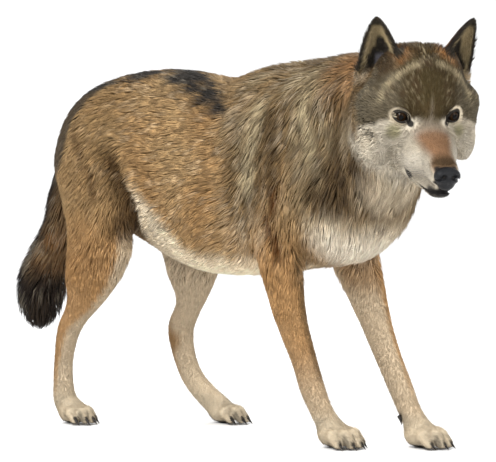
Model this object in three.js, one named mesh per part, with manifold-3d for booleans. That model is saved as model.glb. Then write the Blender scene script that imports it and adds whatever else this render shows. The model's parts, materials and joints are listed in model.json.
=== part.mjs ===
// A grey wolf at life size, standing still with its head held low and turned to its right.
//
// Millimetres. +X runs along the body to the chest, +Y to the wolf's left, +Z up, and the soles are at Z = 0.
// The body is one smooth shape, out to the tips of the coat. It is told as a field: a number at each point of
// space that is under zero inside. Each mass of flesh is a rounded piece of that field, and neighbours run
// into each other over a stated reach. A named part is the field meshed at a size that suits the part, then
// parted from its neighbours by thin flat cuts, so that the body reads as one animal when it is whole.

import * as THREE from "three";
import { mergeVertices } from "three/addons/utils/BufferGeometryUtils.js";
import Module from "manifold-3d";

const wasm = await Module();
wasm.setup();

// ---------------------------------------------------------------- driving dimensions

const GAP = 0.4; // width of a cut between two parts
const SOLE = -9; // height of the floor in the drawing; the finished group is lifted to stand on Z = 0

// Trunk, as stations along X: lowest and highest line of the coat, and half its width.
const TRUNK = {
  x: [-566, -540, -503, -455, -400, -330, -250, -170, -100, -20, 70, 150, 215, 258],
  low: [540, 486, 446, 416, 398, 368, 331, 306, 300, 303, 312, 326, 350, 388],
  high: [600, 630, 660, 687, 703, 712, 713, 703, 690, 690, 690, 686, 668, 640],
  half: [40, 66, 84, 99, 109, 116, 124, 132, 136, 137, 131, 119, 104, 80],
};
const WITHERS = { at: [50, 0, 630], radii: [110, 70, 58] };
const BREAST = { at: [188, 0, 450], radii: [108, 106, 106] };

// Limbs, neck and tail are strings of stations: x, y, z, depth from the middle to the coat's surface, and
// width over depth.
const NECK = [
  [50, 0, 588, 98, 1.05],
  [135, -12, 602, 106, 1.0],
  [215, -45, 620, 104, 0.98],
  [300, -78, 631, 94, 0.98],
  [385, -102, 640, 80, 1.0],
];
const THROAT = [
  [186, -2, 466, 100, 1.02],
  [268, -34, 500, 100, 1.0],
  [345, -82, 548, 76, 1.0],
  [418, -112, 590, 62, 1.0],
];
const TAIL = [
  [-512, 0, 590, 46, 1],
  [-550, 0, 520, 38, 1],
  [-574, 0, 450, 40, 1],
  [-596, 0, 390, 45, 1],
  [-628, 0, 330, 55, 1],
  [-655, 0, 275, 61, 1],
  [-664, 0, 225, 50, 1],
  [-665, 0, 192, 26, 1],
];

const FORE_LEGS = {
  right: {
    limb: [
      [74, -66, 590, 66, 0.62],
      [128, -88, 470, 62, 0.72],
      [88, -86, 385, 50, 0.78],
      [98, -80, 300, 40, 0.82],
      [111, -75, 230, 33.5, 0.82],
      [137, -66, 150, 27, 0.86],
      [152, -61, 100, 25.5, 0.95],
      [170, -56, 58, 23, 0.95],
      [188, -52, 28, 24, 1.05],
    ],
    paw: [208, -49],
    heading: -8,
  },
  left: {
    limb: [
      [74, 66, 590, 66, 0.62],
      [150, 84, 468, 62, 0.74],
      [128, 82, 385, 52, 0.8],
      [155, 78, 312, 44, 0.82],
      [195, 72, 225, 33.5, 0.82],
      [232, 66, 155, 27.5, 0.86],
      [262, 63, 102, 25, 0.95],
      [286, 61, 58, 23, 0.95],
      [306, 60, 28, 24, 1.05],
    ],
    paw: [326, 60],
    heading: 2,
  },
};
const HIND_LEGS = {
  right: {
    limb: [
      [-400, -66, 560, 104, 0.62],
      [-346, -98, 455, 84, 0.64],
      [-340, -112, 355, 62, 0.68],
      [-382, -113, 275, 43, 0.7],
      [-430, -111, 218, 31, 0.72],
      [-458, -109, 180, 28, 0.78],
      [-472, -108, 130, 23.5, 0.82],
      [-475, -108, 80, 23, 0.9],
      [-470, -108, 40, 25, 0.98],
      [-455, -108, 24, 25, 1.0],
    ],
    buttock: [
      [-455, -78, 510, 62, 0.7],
      [-420, -100, 400, 50, 0.66],
      [-420, -110, 300, 34, 0.7],
    ],
    paw: [-434, -108],
    heading: -6,
  },
  left: {
    limb: [
      [-392, 66, 560, 104, 0.62],
      [-328, 94, 445, 80, 0.64],
      [-292, 106, 360, 62, 0.68],
      [-302, 106, 290, 46, 0.7],
      [-321, 104, 225, 32, 0.72],
      [-338, 102, 178, 30, 0.78],
      [-326, 101, 120, 24, 0.82],
      [-300, 101, 74, 23, 0.9],
      [-262, 102, 42, 25, 0.95],
      [-236, 102, 26, 25, 1.0],
    ],
    buttock: [
      [-440, 76, 508, 56, 0.7],
      [-376, 96, 410, 46, 0.66],
      [-340, 104, 310, 34, 0.7],
    ],
    paw: [-207, 102],
    heading: 4,
  },
};

// Paws, in their own frame: +X to the toes. The four toes spread across, and reach is each one's length.
const FORE_PAW = { spread: [-27, -10, 10, 27], reach: [30, 46, 46, 30], toe: 14, palm: [34, 31, 24] };
const HIND_PAW = { spread: [-23, -8, 8, 23], reach: [28, 44, 44, 28], toe: 12.5, palm: [31, 26, 22] };
const CLAW = { length: 21, radius: 4.6 };

// Head, in its own frame: origin midway between the eyes, +X to the nose, +Y left, +Z to the crown.
const HEAD = { at: [475, -140, 594], yaw: -36, pitch: 22, roll: 1.2 };
const EYE = { at: [-8, 45, -1], radius: 12.5, gaze: [0.86, 0.5, 0.06] };
const MUZZLE = {
  x: [-10, 20, 50, 80, 106, 124],
  low: [-88, -90, -90, -89, -87, -82],
  high: [6, -6, -19, -29, -37, -44],
  half: [44, 38, 32, 29, 27, 20],
};
const JAW = {
  x: [-60, -20, 20, 60, 92, 112],
  low: [-114, -118, -118, -116, -113, -106],
  high: [-70, -76, -82, -84, -84, -86],
  half: [44, 38, 29, 24, 20, 12],
};
const NOSE = { at: [118, 0, -60], radii: [19, 24, 19], back: 105, bottom: -80 };
const EAR = {
  base: [-80, 66, 40],
  tip: { right: [-82, -83, 156], left: [-80, 96, 152] },
  turn: 30, // degrees that the cup faces outwards
  heights: [-24, 0, 30, 60, 86, 104, 115],
  half: [40, 45, 42, 33, 22, 12, 2],
  cup: 32, // depth of the cup at its base
  wall: 9,
};

// ---------------------------------------------------------------- small tools

const sub = (a, b) => [a[0] - b[0], a[1] - b[1], a[2] - b[2]];
const dot = (a, b) => a[0] * b[0] + a[1] * b[1] + a[2] * b[2];
const mix = (a, b, t) => a.map((v, i) => v + (b[i] - v) * t);
const clamp = (v, low, high) => Math.min(high, Math.max(low, v));
const sided = (p, side) => [p[0], p[1] * side, p[2]];
const radians = THREE.MathUtils.degToRad;
const SIDES = { right: -1, left: 1 };

// Value of a table of stations at x, eased so that the outline has no corners.
function along(xs, values, x) {
  const last = xs.length - 1;
  if (x <= xs[0]) return values[0];
  if (x >= xs[last]) return values[last];
  let i = 0;
  while (x > xs[i + 1]) i += 1;
  const slope = (j) => {
    const a = Math.max(j - 1, 0);
    const b = Math.min(j + 1, last);
    return (values[b] - values[a]) / (xs[b] - xs[a]);
  };
  const span = xs[i + 1] - xs[i];
  const t = (x - xs[i]) / span;
  const ease = t * (1 - t) * ((1 - t) * slope(i) - t * slope(i + 1)) * span;
  return values[i] + (values[i + 1] - values[i]) * t * t * (3 - 2 * t) + ease;
}

// A frame to work in: turns points of the body into the piece's own axes and back.
function localFrame(origin, euler) {
  const m = new THREE.Matrix4().makeRotationFromEuler(euler).elements;
  const axes = [0, 1, 2].map((i) => [m[4 * i], m[4 * i + 1], m[4 * i + 2]]);
  const inwards = (p) => axes.map((axis) => dot(sub(p, origin), axis));
  const turn = (q) => [0, 1, 2].map((i) => axes[0][i] * q[0] + axes[1][i] * q[1] + axes[2][i] * q[2]);
  const outwards = (q) => turn(q).map((v, i) => v + origin[i]);
  return { inwards, outwards, turn };
}

const headEuler = new THREE.Euler(radians(HEAD.roll), radians(HEAD.pitch), radians(HEAD.yaw), "ZYX");
const headFrame = localFrame(HEAD.at, headEuler);
const pawFrame = (leg) => localFrame([...leg.paw, SOLE], new THREE.Euler(0, 0, radians(leg.heading)));

// ---------------------------------------------------------------- rounded pieces of the field

// Union and cut of two fields that run into each other over a reach.
function blend(a, b, reach) {
  const h = Math.max(reach - Math.abs(a - b), 0) / reach;
  return Math.min(a, b) - (h * h * reach) / 4;
}
const carve = (a, b, reach) => -blend(-a, -b, reach);

function ball(p, centre, radii) {
  const q = sub(p, centre);
  const near = Math.hypot(q[0] / radii[0], q[1] / radii[1], q[2] / radii[2]);
  const far = Math.hypot(q[0] / radii[0] ** 2, q[1] / radii[1] ** 2, q[2] / radii[2] ** 2);
  return far < 1e-9 ? -Math.min(...radii) : (near * (near - 1)) / far;
}

// A rounded rod from a to b, where each end is a station: x, y, z, depth, width over depth.
function rod(p, a, b) {
  const whole = sub(b, a);
  const length2 = dot(whole, whole);
  const place = clamp(dot(sub(p, a), whole) / length2, 0, 1);
  const flat = a[4] + (b[4] - a[4]) * place;
  const middle = a[1] + whole[1] * place;
  const q = [p[0], middle + (p[1] - middle) / flat, p[2]];
  const t = clamp(dot(sub(q, a), whole) / length2, 0, 1);
  const away = Math.hypot(q[0] - a[0] - whole[0] * t, q[1] - a[1] - whole[1] * t, q[2] - a[2] - whole[2] * t);
  return (away - (a[3] + (b[3] - a[3]) * t)) * Math.min(flat, 1);
}

// A limb through a string of stations, rounded off between them. FAR is given for points well away from it,
// which saves measuring what can't matter there.
const FAR = 90;
function limb(stations) {
  const fine = [];
  const last = stations.length - 1;
  for (let i = 0; i < last; i += 1) {
    const [p0, p1, p2, p3] = [i - 1, i, i + 1, i + 2].map((j) => stations[clamp(j, 0, last)]);
    for (let t = 0; t < 1; t += 0.25) {
      const at = (k) => {
        const bend = 2 * p0[k] - 5 * p1[k] + 4 * p2[k] - p3[k];
        const twist = 3 * p1[k] - p0[k] - 3 * p2[k] + p3[k];
        return p1[k] + 0.5 * t * (p2[k] - p0[k] + bend * t + twist * t * t);
      };
      fine.push([0, 1, 2, 3, 4].map(at));
    }
  }
  fine.push(stations[last]);
  const low = [0, 1, 2].map((k) => Math.min(...fine.map((s) => s[k] - s[3] * 1.1)));
  const high = [0, 1, 2].map((k) => Math.max(...fine.map((s) => s[k] + s[3] * 1.1)));
  return (p) => {
    const away = Math.max(...[0, 1, 2].map((k) => Math.max(low[k] - p[k], p[k] - high[k])));
    if (away > FAR) return away;
    let d = Infinity;
    for (let i = 0; i + 1 < fine.length; i += 1) d = Math.min(d, rod(p, fine[i], fine[i + 1]));
    return d;
  };
}

// A length of flesh along X with a station table. fullness over 2 makes its section squarer.
function loft(p, table, fullness, endReach) {
  const low = along(table.x, table.low, p[0]);
  const high = along(table.x, table.high, p[0]);
  const half = along(table.x, table.half, p[0]);
  const middle = (low + high) / 2;
  const up = (p[2] - middle) / ((high - low) / 2);
  const side = p[1] / half;
  const ring = Math.max((Math.abs(up) ** fullness + Math.abs(side) ** fullness) ** (1 / fullness), 1e-3);
  const shallow = -Math.min(half, (high - low) / 2) * (1 - ring);
  const round = ring < 0.2 ? shallow : Math.hypot(p[1], p[2] - middle) * (1 - 1 / ring);
  return carve(round, Math.max(table.x[0] - p[0], p[0] - table.x[table.x.length - 1]), endReach);
}

// ---------------------------------------------------------------- the masses of the body

const neckLimb = limb(NECK);
const throatLimb = limb(THROAT);
const tailLimb = limb(TAIL);

function trunkField(p) {
  let d = loft(p, TRUNK, 2.15, 90);
  d = blend(d, ball(p, WITHERS.at, WITHERS.radii), 50);
  return blend(d, ball(p, BREAST.at, BREAST.radii), 50);
}

function headField(q) {
  let d = ball(q, [-68, 0, 31], [88, 76, 70]); // skull
  d = blend(d, ball(q, [-30, 0, 12], [38, 44, 32]), 30); // forehead
  for (const side of [-1, 1]) {
    d = blend(d, ball(q, [-70, side * 44, 60], [46, 34, 38]), 26); // crown, where the ear stands
    d = blend(d, ball(q, [-22, side * 34, 15], [20, 17, 13]), 14); // brow
    d = blend(d, ball(q, [-38, side * 52, -34], [44, 28, 32]), 26); // cheekbone
    d = blend(d, ball(q, [-64, side * 80, 0], [44, 32, 42]), 34); // temple fur
    d = blend(d, ball(q, [-72, side * 66, -44], [50, 48, 58]), 34); // ruff
    d = blend(d, ball(q, [-44, side * 84, -70], [26, 20, 28]), 30); // ruff's hanging corner
    d = blend(d, ball(q, [12, side * 26, -58], [48, 24, 34]), 20); // side of the muzzle
  }
  d = blend(d, loft(q, MUZZLE, 2.3, 16), 22);
  d = blend(d, loft(q, JAW, 2.2, 14), 12);
  return blend(d, ball(q, NOSE.at, NOSE.radii), 8);
}

function pawField(p, frame, paw) {
  const q = frame.inwards(p);
  if (Math.max(Math.abs(q[0]), Math.abs(q[1]), q[2]) > FAR + 40) return FAR;
  let d = ball(q, [-10, 0, paw.palm[2] - 3], paw.palm);
  paw.spread.forEach((side, i) => {
    const root = [paw.reach[i] - 32, side * 0.72, 26, paw.toe + 1, 1];
    const knuckle = [paw.reach[i] - 12, side * 0.95, 27, paw.toe, 1];
    const end = [paw.reach[i] + 4, side * 1.06, 11, paw.toe - 1.5, 1];
    d = blend(d, blend(rod(q, root, knuckle), rod(q, knuckle, end), 4), i === 0 ? 10 : 5);
  });
  return d;
}

function legField(leg, paw) {
  const parts = [limb(leg.limb)];
  if (leg.buttock) parts.push(limb(leg.buttock));
  const frame = pawFrame(leg);
  return (p) => {
    const flesh = parts.map((part) => part(p)).reduce((a, b) => blend(a, b, 40));
    return blend(flesh, pawField(p, frame, paw), 16);
  };
}

const foreFields = Object.values(FORE_LEGS).map((leg) => legField(leg, FORE_PAW));
const hindFields = Object.values(HIND_LEGS).map((leg) => legField(leg, HIND_PAW));

// The whole animal but its ears, eyes and claws.
function wolfField(p) {
  let d = trunkField(p);
  d = blend(d, blend(neckLimb(p), throatLimb(p), 60), 70);
  if (p[0] > 200) d = blend(d, headField(headFrame.inwards(p)), 34);
  d = blend(d, tailLimb(p), 22);
  for (const field of foreFields) d = blend(d, field(p), 34);
  for (const field of hindFields) d = blend(d, field(p), 40);
  return d;
}

// ---------------------------------------------------------------- from field to mesh

// Moves a point on to the surface along the field's slope, by no more than a third of a cell at a time.
function onSurface(field, start, cell) {
  const step = 0.5;
  let p = start;
  for (let turn = 0; turn < 2; turn += 1) {
    const d = field(p);
    const slope = [0, 1, 2].map((i) => (field(p.map((v, k) => (k === i ? v + step : v))) - d) / step);
    const move = clamp(-d, -cell / 3, cell / 3) / Math.max(dot(slope, slope), 0.3);
    p = p.map((v, i) => v + slope[i] * move);
  }
  return p;
}

// A closed mesh of the field's inside within a box. Each cell that the surface crosses gives one vertex, and
// each grid edge that it crosses gives one four-sided face between the four cells round that edge.
function meshOf(field, box, cell) {
  const [low, high] = box;
  const count = [0, 1, 2].map((i) => Math.ceil((high[i] - low[i]) / cell) + 3);
  const place = (i, j, k) => [low[0] + (i - 1) * cell, low[1] + (j - 1) * cell, low[2] + (k - 1) * cell];
  const boxed = (p) => Math.max(...[0, 1, 2].map((i) => Math.max(low[i] - p[i], p[i] - high[i])));
  const inside = (p) => Math.max(field(p), boxed(p));
  const index = (i, j, k) => (i * count[1] + j) * count[2] + k;
  const value = new Float64Array(count[0] * count[1] * count[2]);
  const each = (from, visit) => {
    for (let i = from; i + from < count[0]; i += 1) {
      for (let j = from; j + from < count[1]; j += 1) {
        for (let k = from; k + from < count[2]; k += 1) visit(i, j, k);
      }
    }
  };
  each(0, (i, j, k) => {
    value[index(i, j, k)] = inside(place(i, j, k));
  });

  const corners = [0, 1, 2, 3, 4, 5, 6, 7].map((c) => [c & 1, (c >> 1) & 1, (c >> 2) & 1]);
  const apart = (a, b) => Math.abs(a[0] - b[0]) + Math.abs(a[1] - b[1]) + Math.abs(a[2] - b[2]);
  const edges = [];
  corners.forEach((a, m) => corners.forEach((b, n) => n > m && apart(a, b) === 1 && edges.push([m, n])));
  const vertexOf = new Map();
  const positions = [];
  each(0, (i, j, k) => {
    if (i + 1 >= count[0] || j + 1 >= count[1] || k + 1 >= count[2]) return;
    const v = corners.map(([a, b, c]) => value[index(i + a, j + b, k + c)]);
    const crossed = edges.filter(([m, n]) => v[m] < 0 !== v[n] < 0);
    if (!crossed.length) return;
    const marks = crossed.map(([m, n]) => mix(corners[m], corners[n], v[m] / (v[m] - v[n])));
    const mean = [0, 1, 2].map((a) => marks.reduce((sum, mark) => sum + mark[a], 0) / marks.length);
    const start = place(i, j, k).map((s, a) => s + mean[a] * cell);
    vertexOf.set(index(i, j, k), positions.length / 3);
    positions.push(...onSurface(inside, start, cell));
  });

  const faces = [];
  const quad = (cells, flip) => {
    const [p, q, r, s] = cells.map((c) => vertexOf.get(c));
    faces.push(...(flip ? [p, r, q, p, s, r] : [p, q, r, p, r, s]));
  };
  each(1, (i, j, k) => {
    const here = value[index(i, j, k)] < 0;
    const crosses = (a, b, c) => here !== value[index(i + a, j + b, k + c)] < 0;
    const at = (a, b, c) => index(i - a, j - b, k - c);
    if (crosses(1, 0, 0)) quad([at(0, 1, 1), at(0, 0, 1), at(0, 0, 0), at(0, 1, 0)], !here);
    if (crosses(0, 1, 0)) quad([at(1, 0, 1), at(0, 0, 1), at(0, 0, 0), at(1, 0, 0)], here);
    if (crosses(0, 0, 1)) quad([at(1, 1, 0), at(0, 1, 0), at(0, 0, 0), at(1, 0, 0)], !here);
  });
  const geometry = new THREE.BufferGeometry();
  geometry.setAttribute("position", new THREE.Float32BufferAttribute(positions, 3));
  geometry.setIndex(faces);
  return geometry;
}

// ---------------------------------------------------------------- solids, joins and cuts

function solidOf(geometry) {
  const plain = geometry.clone();
  plain.deleteAttribute("normal");
  plain.deleteAttribute("uv");
  const merged = mergeVertices(plain, 1e-4);
  return new wasm.Manifold(
    new wasm.Mesh({
      numProp: 3,
      vertProperties: new Float32Array(merged.attributes.position.array),
      triVerts: new Uint32Array(merged.index.array),
    }),
  );
}

function geometryOf(solid) {
  const mesh = solid.getMesh();
  const geometry = new THREE.BufferGeometry();
  geometry.setAttribute("position", new THREE.BufferAttribute(new Float32Array(mesh.vertProperties), 3));
  geometry.setIndex(new THREE.BufferAttribute(new Uint32Array(mesh.triVerts), 1));
  return untouched(geometry);
}

// Where two sheets of the surface share a corner, each is drawn in a little, so that they don't touch.
function untouched(geometry) {
  geometry.computeVertexNormals();
  const { position, normal } = geometry.attributes;
  const groups = new Map();
  for (let i = 0; i < position.count; i += 1) {
    const key = [position.getX(i), position.getY(i), position.getZ(i)].map((v) => v.toFixed(3)).join();
    groups.set(key, [...(groups.get(key) ?? []), i]);
  }
  for (const group of groups.values()) {
    if (group.length === 1) continue;
    for (const i of group) {
      const corner = new THREE.Vector3().fromBufferAttribute(position, i);
      corner.addScaledVector(new THREE.Vector3().fromBufferAttribute(normal, i), -GAP / 4);
      position.setXYZ(i, corner.x, corner.y, corner.z);
    }
  }
  return geometry;
}

// The space on one side of a flat cut, half a gap back from it. normal points into that space.
function behind(point, normal) {
  const size = 3000;
  const block = new THREE.BoxGeometry(size, size, size).translate(0, 0, size / 2 + GAP / 2);
  const n = new THREE.Vector3(...normal).normalize();
  const turn = new THREE.Quaternion().setFromUnitVectors(new THREE.Vector3(0, 0, 1), n);
  block.applyQuaternion(turn);
  block.translate(...point);
  return solidOf(block);
}

// Both sides of a cut.
const cutAt = (point, normal) => [behind(point, normal), behind(point, normal.map((v) => -v))];
const headPoint = (q) => headFrame.outwards(q);
const headTurn = (q) => headFrame.turn(q);

const [headSide, neckSide] = cutAt(headPoint([-106, 0, 0]), headTurn([0.965, 0, 0.263]));
const [neckFront, chestBack] = cutAt([150, 0, 560], [0.88, -0.3, 0.3]);
const [chestFront, bellyBack] = cutAt([-30, 0, 500], [1, 0, 0]);
const [bellyFront, rumpBack] = cutAt([-262, 0, 500], [1, 0, 0]);
const [aboveThigh, belowThigh] = cutAt([-290, 0, 352], [0.456, 0, 0.89]);
const [aboveElbow, belowElbow] = cutAt([100, 0, 306], [0, 0, 1]);
const [leftHalf, rightHalf] = cutAt([0, 0, 0], [0, 1, 0]);
const tailRoom = (back) => {
  const under = behind([-540, 0, 548 + back], [-0.35, 0, -0.94]);
  return under.intersect(behind([-528 + back, 0, 500], [-1, 0, 0]));
};
const notTail = (solid) => solid.subtract(tailRoom(GAP));
const [aboveBrush, belowBrush] = cutAt([-617, 0, 350], [0.45, 0, 0.9]);

// Cuts that follow a leg down: the stifle, the hock or wrist, and the top of the paw.
const LEVELS = { stifle: 268, hock: 150, wrist: 112, ankle: 44 };
const levels = Object.fromEntries(Object.entries(LEVELS).map(([k, z]) => [k, cutAt([0, 0, z], [0, 0, 1])]));

// A part: the field meshed in a box, kept on the stated sides of its cuts.
function part(box, cell, sides, field = wolfField) {
  return sides.reduce((solid, side) => solid.intersect(side), solidOf(meshOf(field, box, cell)));
}


// ---------------------------------------------------------------- the parts

const COLOURS = {
  coat: { color: 0xa08763, roughness: 0.9, metalness: 0 },
  pale_coat: { color: 0xd8cbb4, roughness: 0.9, metalness: 0 },
  leg_coat: { color: 0xb98a58, roughness: 0.9, metalness: 0 },
  dark_coat: { color: 0x3a3129, roughness: 0.9, metalness: 0 },
  nose: { color: 0x1f2023, roughness: 0.45, metalness: 0 },
  eye: { color: 0x3b2412, roughness: 0.08, metalness: 0 },
};

const wolf = new THREE.Group();
function add(name, solid, colour) {
  const mesh = new THREE.Mesh(geometryOf(solid), new THREE.MeshStandardMaterial(COLOURS[colour]));
  mesh.name = name;
  wolf.add(mesh);
}

// Trunk and neck.
const neckBox = [[20, -240, 290], [520, 160, 800]];
const chestBox = [[-90, -190, 250], [420, 190, 800]];
const bellyBox = [[-325, -190, 250], [35, 190, 760]];
const rumpBox = [[-640, -190, 300], [-205, 190, 760]];
const tailBox = [[-720, -90, 290], [-490, 90, 620]];
const brushBox = [[-740, -90, 140], [-550, 90, 420]];
add("neck", part(neckBox, 40, [neckSide, neckFront]), "coat");
add("chest", part(chestBox, 42, [chestFront, chestBack, aboveElbow]), "coat");
add("belly", part(bellyBox, 42, [bellyFront, bellyBack, aboveThigh]), "coat");
add("rump", notTail(part(rumpBox, 38, [rumpBack, aboveThigh])), "coat");
add("tail_base", part(tailBox, 30, [tailRoom(0), aboveBrush]), "coat");
add("tail_brush", part(brushBox, 28, [belowBrush]), "dark_coat");

// Legs. Claws are joined to the paw that they grow from.
function clawsOf(leg, paw) {
  const frame = pawFrame(leg);
  return paw.spread.map((side, i) => {
    const root = frame.outwards([paw.reach[i] + 5, side * 1.07, 17]);
    const tip = frame.outwards([paw.reach[i] + 5 + CLAW.length, side * 1.16, 5]);
    const reach = new THREE.Vector3(...sub(tip, root));
    const cone = new THREE.ConeGeometry(CLAW.radius, reach.length(), 6);
    cone.applyQuaternion(new THREE.Quaternion().setFromUnitVectors(new THREE.Vector3(0, 1, 0), reach.normalize()));
    return solidOf(cone.translate(...mix(root, tip, 0.5)));
  });
}

for (const [side, leg] of Object.entries(FORE_LEGS)) {
  const [x, y] = leg.paw;
  const half = side === "left" ? leftHalf : rightHalf;
  const upper = [[30, y - 90, 80], [x + 60, y + 90, 345]];
  const lower = [[x - 120, y - 60, 10], [x + 90, y + 60, 150]];
  const foot = [[x - 90, y - 60, SOLE - 20], [x + 90, y + 60, 75]];
  add(`fore_leg_${side}_forearm`, part(upper, 22, [belowElbow, levels.wrist[0], half]), "leg_coat");
  add(`fore_leg_${side}_pastern`, part(lower, 17, [levels.wrist[1], levels.ankle[0]]), "leg_coat");
  const paw = clawsOf(leg, FORE_PAW).reduce((a, b) => a.add(b), part(foot, 16, [levels.ankle[1]]));
  add(`fore_leg_${side}_paw`, paw.intersect(behind([0, 0, SOLE - GAP / 2], [0, 0, 1])), "pale_coat");
}
for (const [side, leg] of Object.entries(HIND_LEGS)) {
  const [x, y] = leg.paw;
  const half = side === "left" ? leftHalf : rightHalf;
  const edge = side === "left" ? [0, 190] : [-190, 0];
  const thigh = [[-570, edge[0] - 40, 220], [-190, edge[1] + 40, 560]];
  const shank = [[-560, y - 80, 115], [-220, y + 80, 310]];
  const lower = [[-540, y - 60, 10], [x + 60, y + 60, 190]];
  const foot = [[x - 90, y - 60, SOLE - 20], [x + 90, y + 60, 75]];
  add(`hind_leg_${side}_thigh`, notTail(part(thigh, 34, [belowThigh, levels.stifle[0], half])), "coat");
  add(`hind_leg_${side}_shank`, part(shank, 22, [levels.stifle[1], levels.hock[0]]), "leg_coat");
  add(`hind_leg_${side}_foot`, part(lower, 17, [levels.hock[1], levels.ankle[0]]), "leg_coat");
  const paw = clawsOf(leg, HIND_PAW).reduce((a, b) => a.add(b), part(foot, 15.5, [levels.ankle[1]]));
  add(`hind_leg_${side}_paw`, paw.intersect(behind([0, 0, SOLE - GAP / 2], [0, 0, 1])), "pale_coat");
}

// Head. Each eye is a ball that lies in its socket, and its front looks out through the lids' opening.
function eyeball(side, swell) {
  const centre = headPoint(sided(EYE.at, side));
  return solidOf(new THREE.IcosahedronGeometry(EYE.radius + swell, 2).translate(...centre));
}

// The opening between the lids, which widens forwards and outwards.
function lidOpening(side) {
  const gaze = new THREE.Vector3(...headTurn(sided(EYE.gaze, side))).normalize();
  const cone = new THREE.CylinderGeometry(19, 12, 30, 16).translate(0, 15, 0).scale(1, 1, 0.72);
  cone.applyQuaternion(new THREE.Quaternion().setFromUnitVectors(new THREE.Vector3(0, 1, 0), gaze));
  return solidOf(cone.translate(...headPoint(sided(EYE.at, side))));
}

// The corner of the head that the nose takes up.
const noseRoom = (back) => {
  const front = behind(headPoint([NOSE.back - back, 0, 0]), headTurn([1, 0, 0]));
  return front.intersect(behind(headPoint([0, 0, NOSE.bottom - back]), headTurn([0, 0, 1])));
};

const headBox = [[300, -330, 400], [680, 60, 810]];
const headCell = 20;
const noseBox = [[500, -300, 440], [680, -140, 640]];
let head = part(headBox, headCell, [headSide]).subtract(noseRoom(GAP));
for (const side of Object.values(SIDES)) head = head.subtract(eyeball(side, GAP)).subtract(lidOpening(side));
add("nose", part(noseBox, 10, [noseRoom(0)]), "nose");
add("head", head, "coat");
for (const [name, side] of Object.entries(SIDES)) add(`eye_${name}`, eyeball(side, 0), "eye");

// Each ear is a curved leaf with a cup: rows of points up its height, outer face and inner face.
function earShell(name) {
  const side = SIDES[name];
  const base = new THREE.Vector3(...sided(EAR.base, side));
  const axis = new THREE.Vector3(...EAR.tip[name]).sub(base).normalize();
  const front = new THREE.Vector3(Math.cos(radians(EAR.turn)), side * Math.sin(radians(EAR.turn)), 0);
  front.addScaledVector(axis, -front.dot(axis)).normalize();
  const across = new THREE.Vector3().crossVectors(axis, front);
  const rows = 8;
  const columns = 6;
  const top = EAR.heights[EAR.heights.length - 1];
  const face = (offset) => {
    const points = [];
    for (let r = 0; r <= rows; r += 1) {
      const z = EAR.heights[0] + ((top - EAR.heights[0] - 1) * r) / rows;
      const half = along(EAR.heights, EAR.half, z) - EAR.wall / 4;
      const depth = EAR.cup * clamp(1 - (z / top) ** 2, 0, 1);
      for (let c = 0; c <= columns; c += 1) {
        const share = (2 * c) / columns - 1;
        const slope = (2 * depth * share) / half;
        const wall = EAR.wall * (1 - 0.5 * Math.abs(share) ** 4) * (1 - 0.5 * (r / rows) ** 3);
        const thick = (offset * wall) / 2;
        const bend = 1 / Math.hypot(1, slope);
        const p = base.clone();
        p.addScaledVector(axis, z);
        p.addScaledVector(across, half * share - thick * slope * bend);
        p.addScaledVector(front, -depth * (1 - share * share) + thick * bend);
        points.push(...headPoint([p.x, p.y, p.z]));
      }
    }
    return points;
  };
  const inner = face(1);
  const outer = face(-1);
  const width = columns + 1;
  const total = (rows + 1) * width;
  const faces = [];
  const quad = (a, b, c, d) => faces.push(a, b, c, a, c, d);
  for (let r = 0; r < rows; r += 1)
    for (let c = 0; c < columns; c += 1) {
      const a = r * width + c;
      quad(a, a + 1, a + 1 + width, a + width);
      quad(total + a + width, total + a + width + 1, total + a + 1, total + a);
    }
  for (let r = 0; r < rows; r += 1) {
    const a = r * width;
    quad(a, a + width, total + a + width, total + a);
    const b = a + columns;
    quad(total + b, total + b + width, b + width, b);
  }
  for (let c = 0; c < columns; c += 1) {
    quad(total + c, total + c + 1, c + 1, c);
    const a = rows * width + c;
    quad(a, a + 1, total + a + 1, total + a);
  }
  const geometry = new THREE.BufferGeometry();
  geometry.setAttribute("position", new THREE.Float32BufferAttribute([...inner, ...outer], 3));
  geometry.setIndex(faces);
  return solidOf(geometry);
}

// The ears stand just clear of the head.
const headAndAir = solidOf(meshOf((p) => wolfField(p) - 2 * GAP, headBox, headCell)).add(head);
for (const name of Object.keys(SIDES)) add(`ear_${name}`, earShell(name).subtract(headAndAir), "coat");

// ---------------------------------------------------------------- stand it on the middle of its footprint

const box = new THREE.Box3().setFromObject(wolf);
const middle = box.getCenter(new THREE.Vector3());
wolf.children.forEach((mesh) => mesh.geometry.translate(-middle.x, -middle.y, -SOLE));

export default wolf;
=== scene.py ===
# %% [markdown]
# # A grey wolf at life size
# A wolf stands with its head low and turned to its right. This lesson builds the animal that you would see in
# a museum: a closed skin, eyes, nose leather and claws, and over the skin a coat of many thousands of solid
# tufts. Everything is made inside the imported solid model, which gives the size and the place of each part.

import json
import math

import bpy
import numpy as np
from mathutils import Matrix, Vector
from mathutils.bvhtree import BVHTree
from mathutils.kdtree import KDTree

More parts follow.
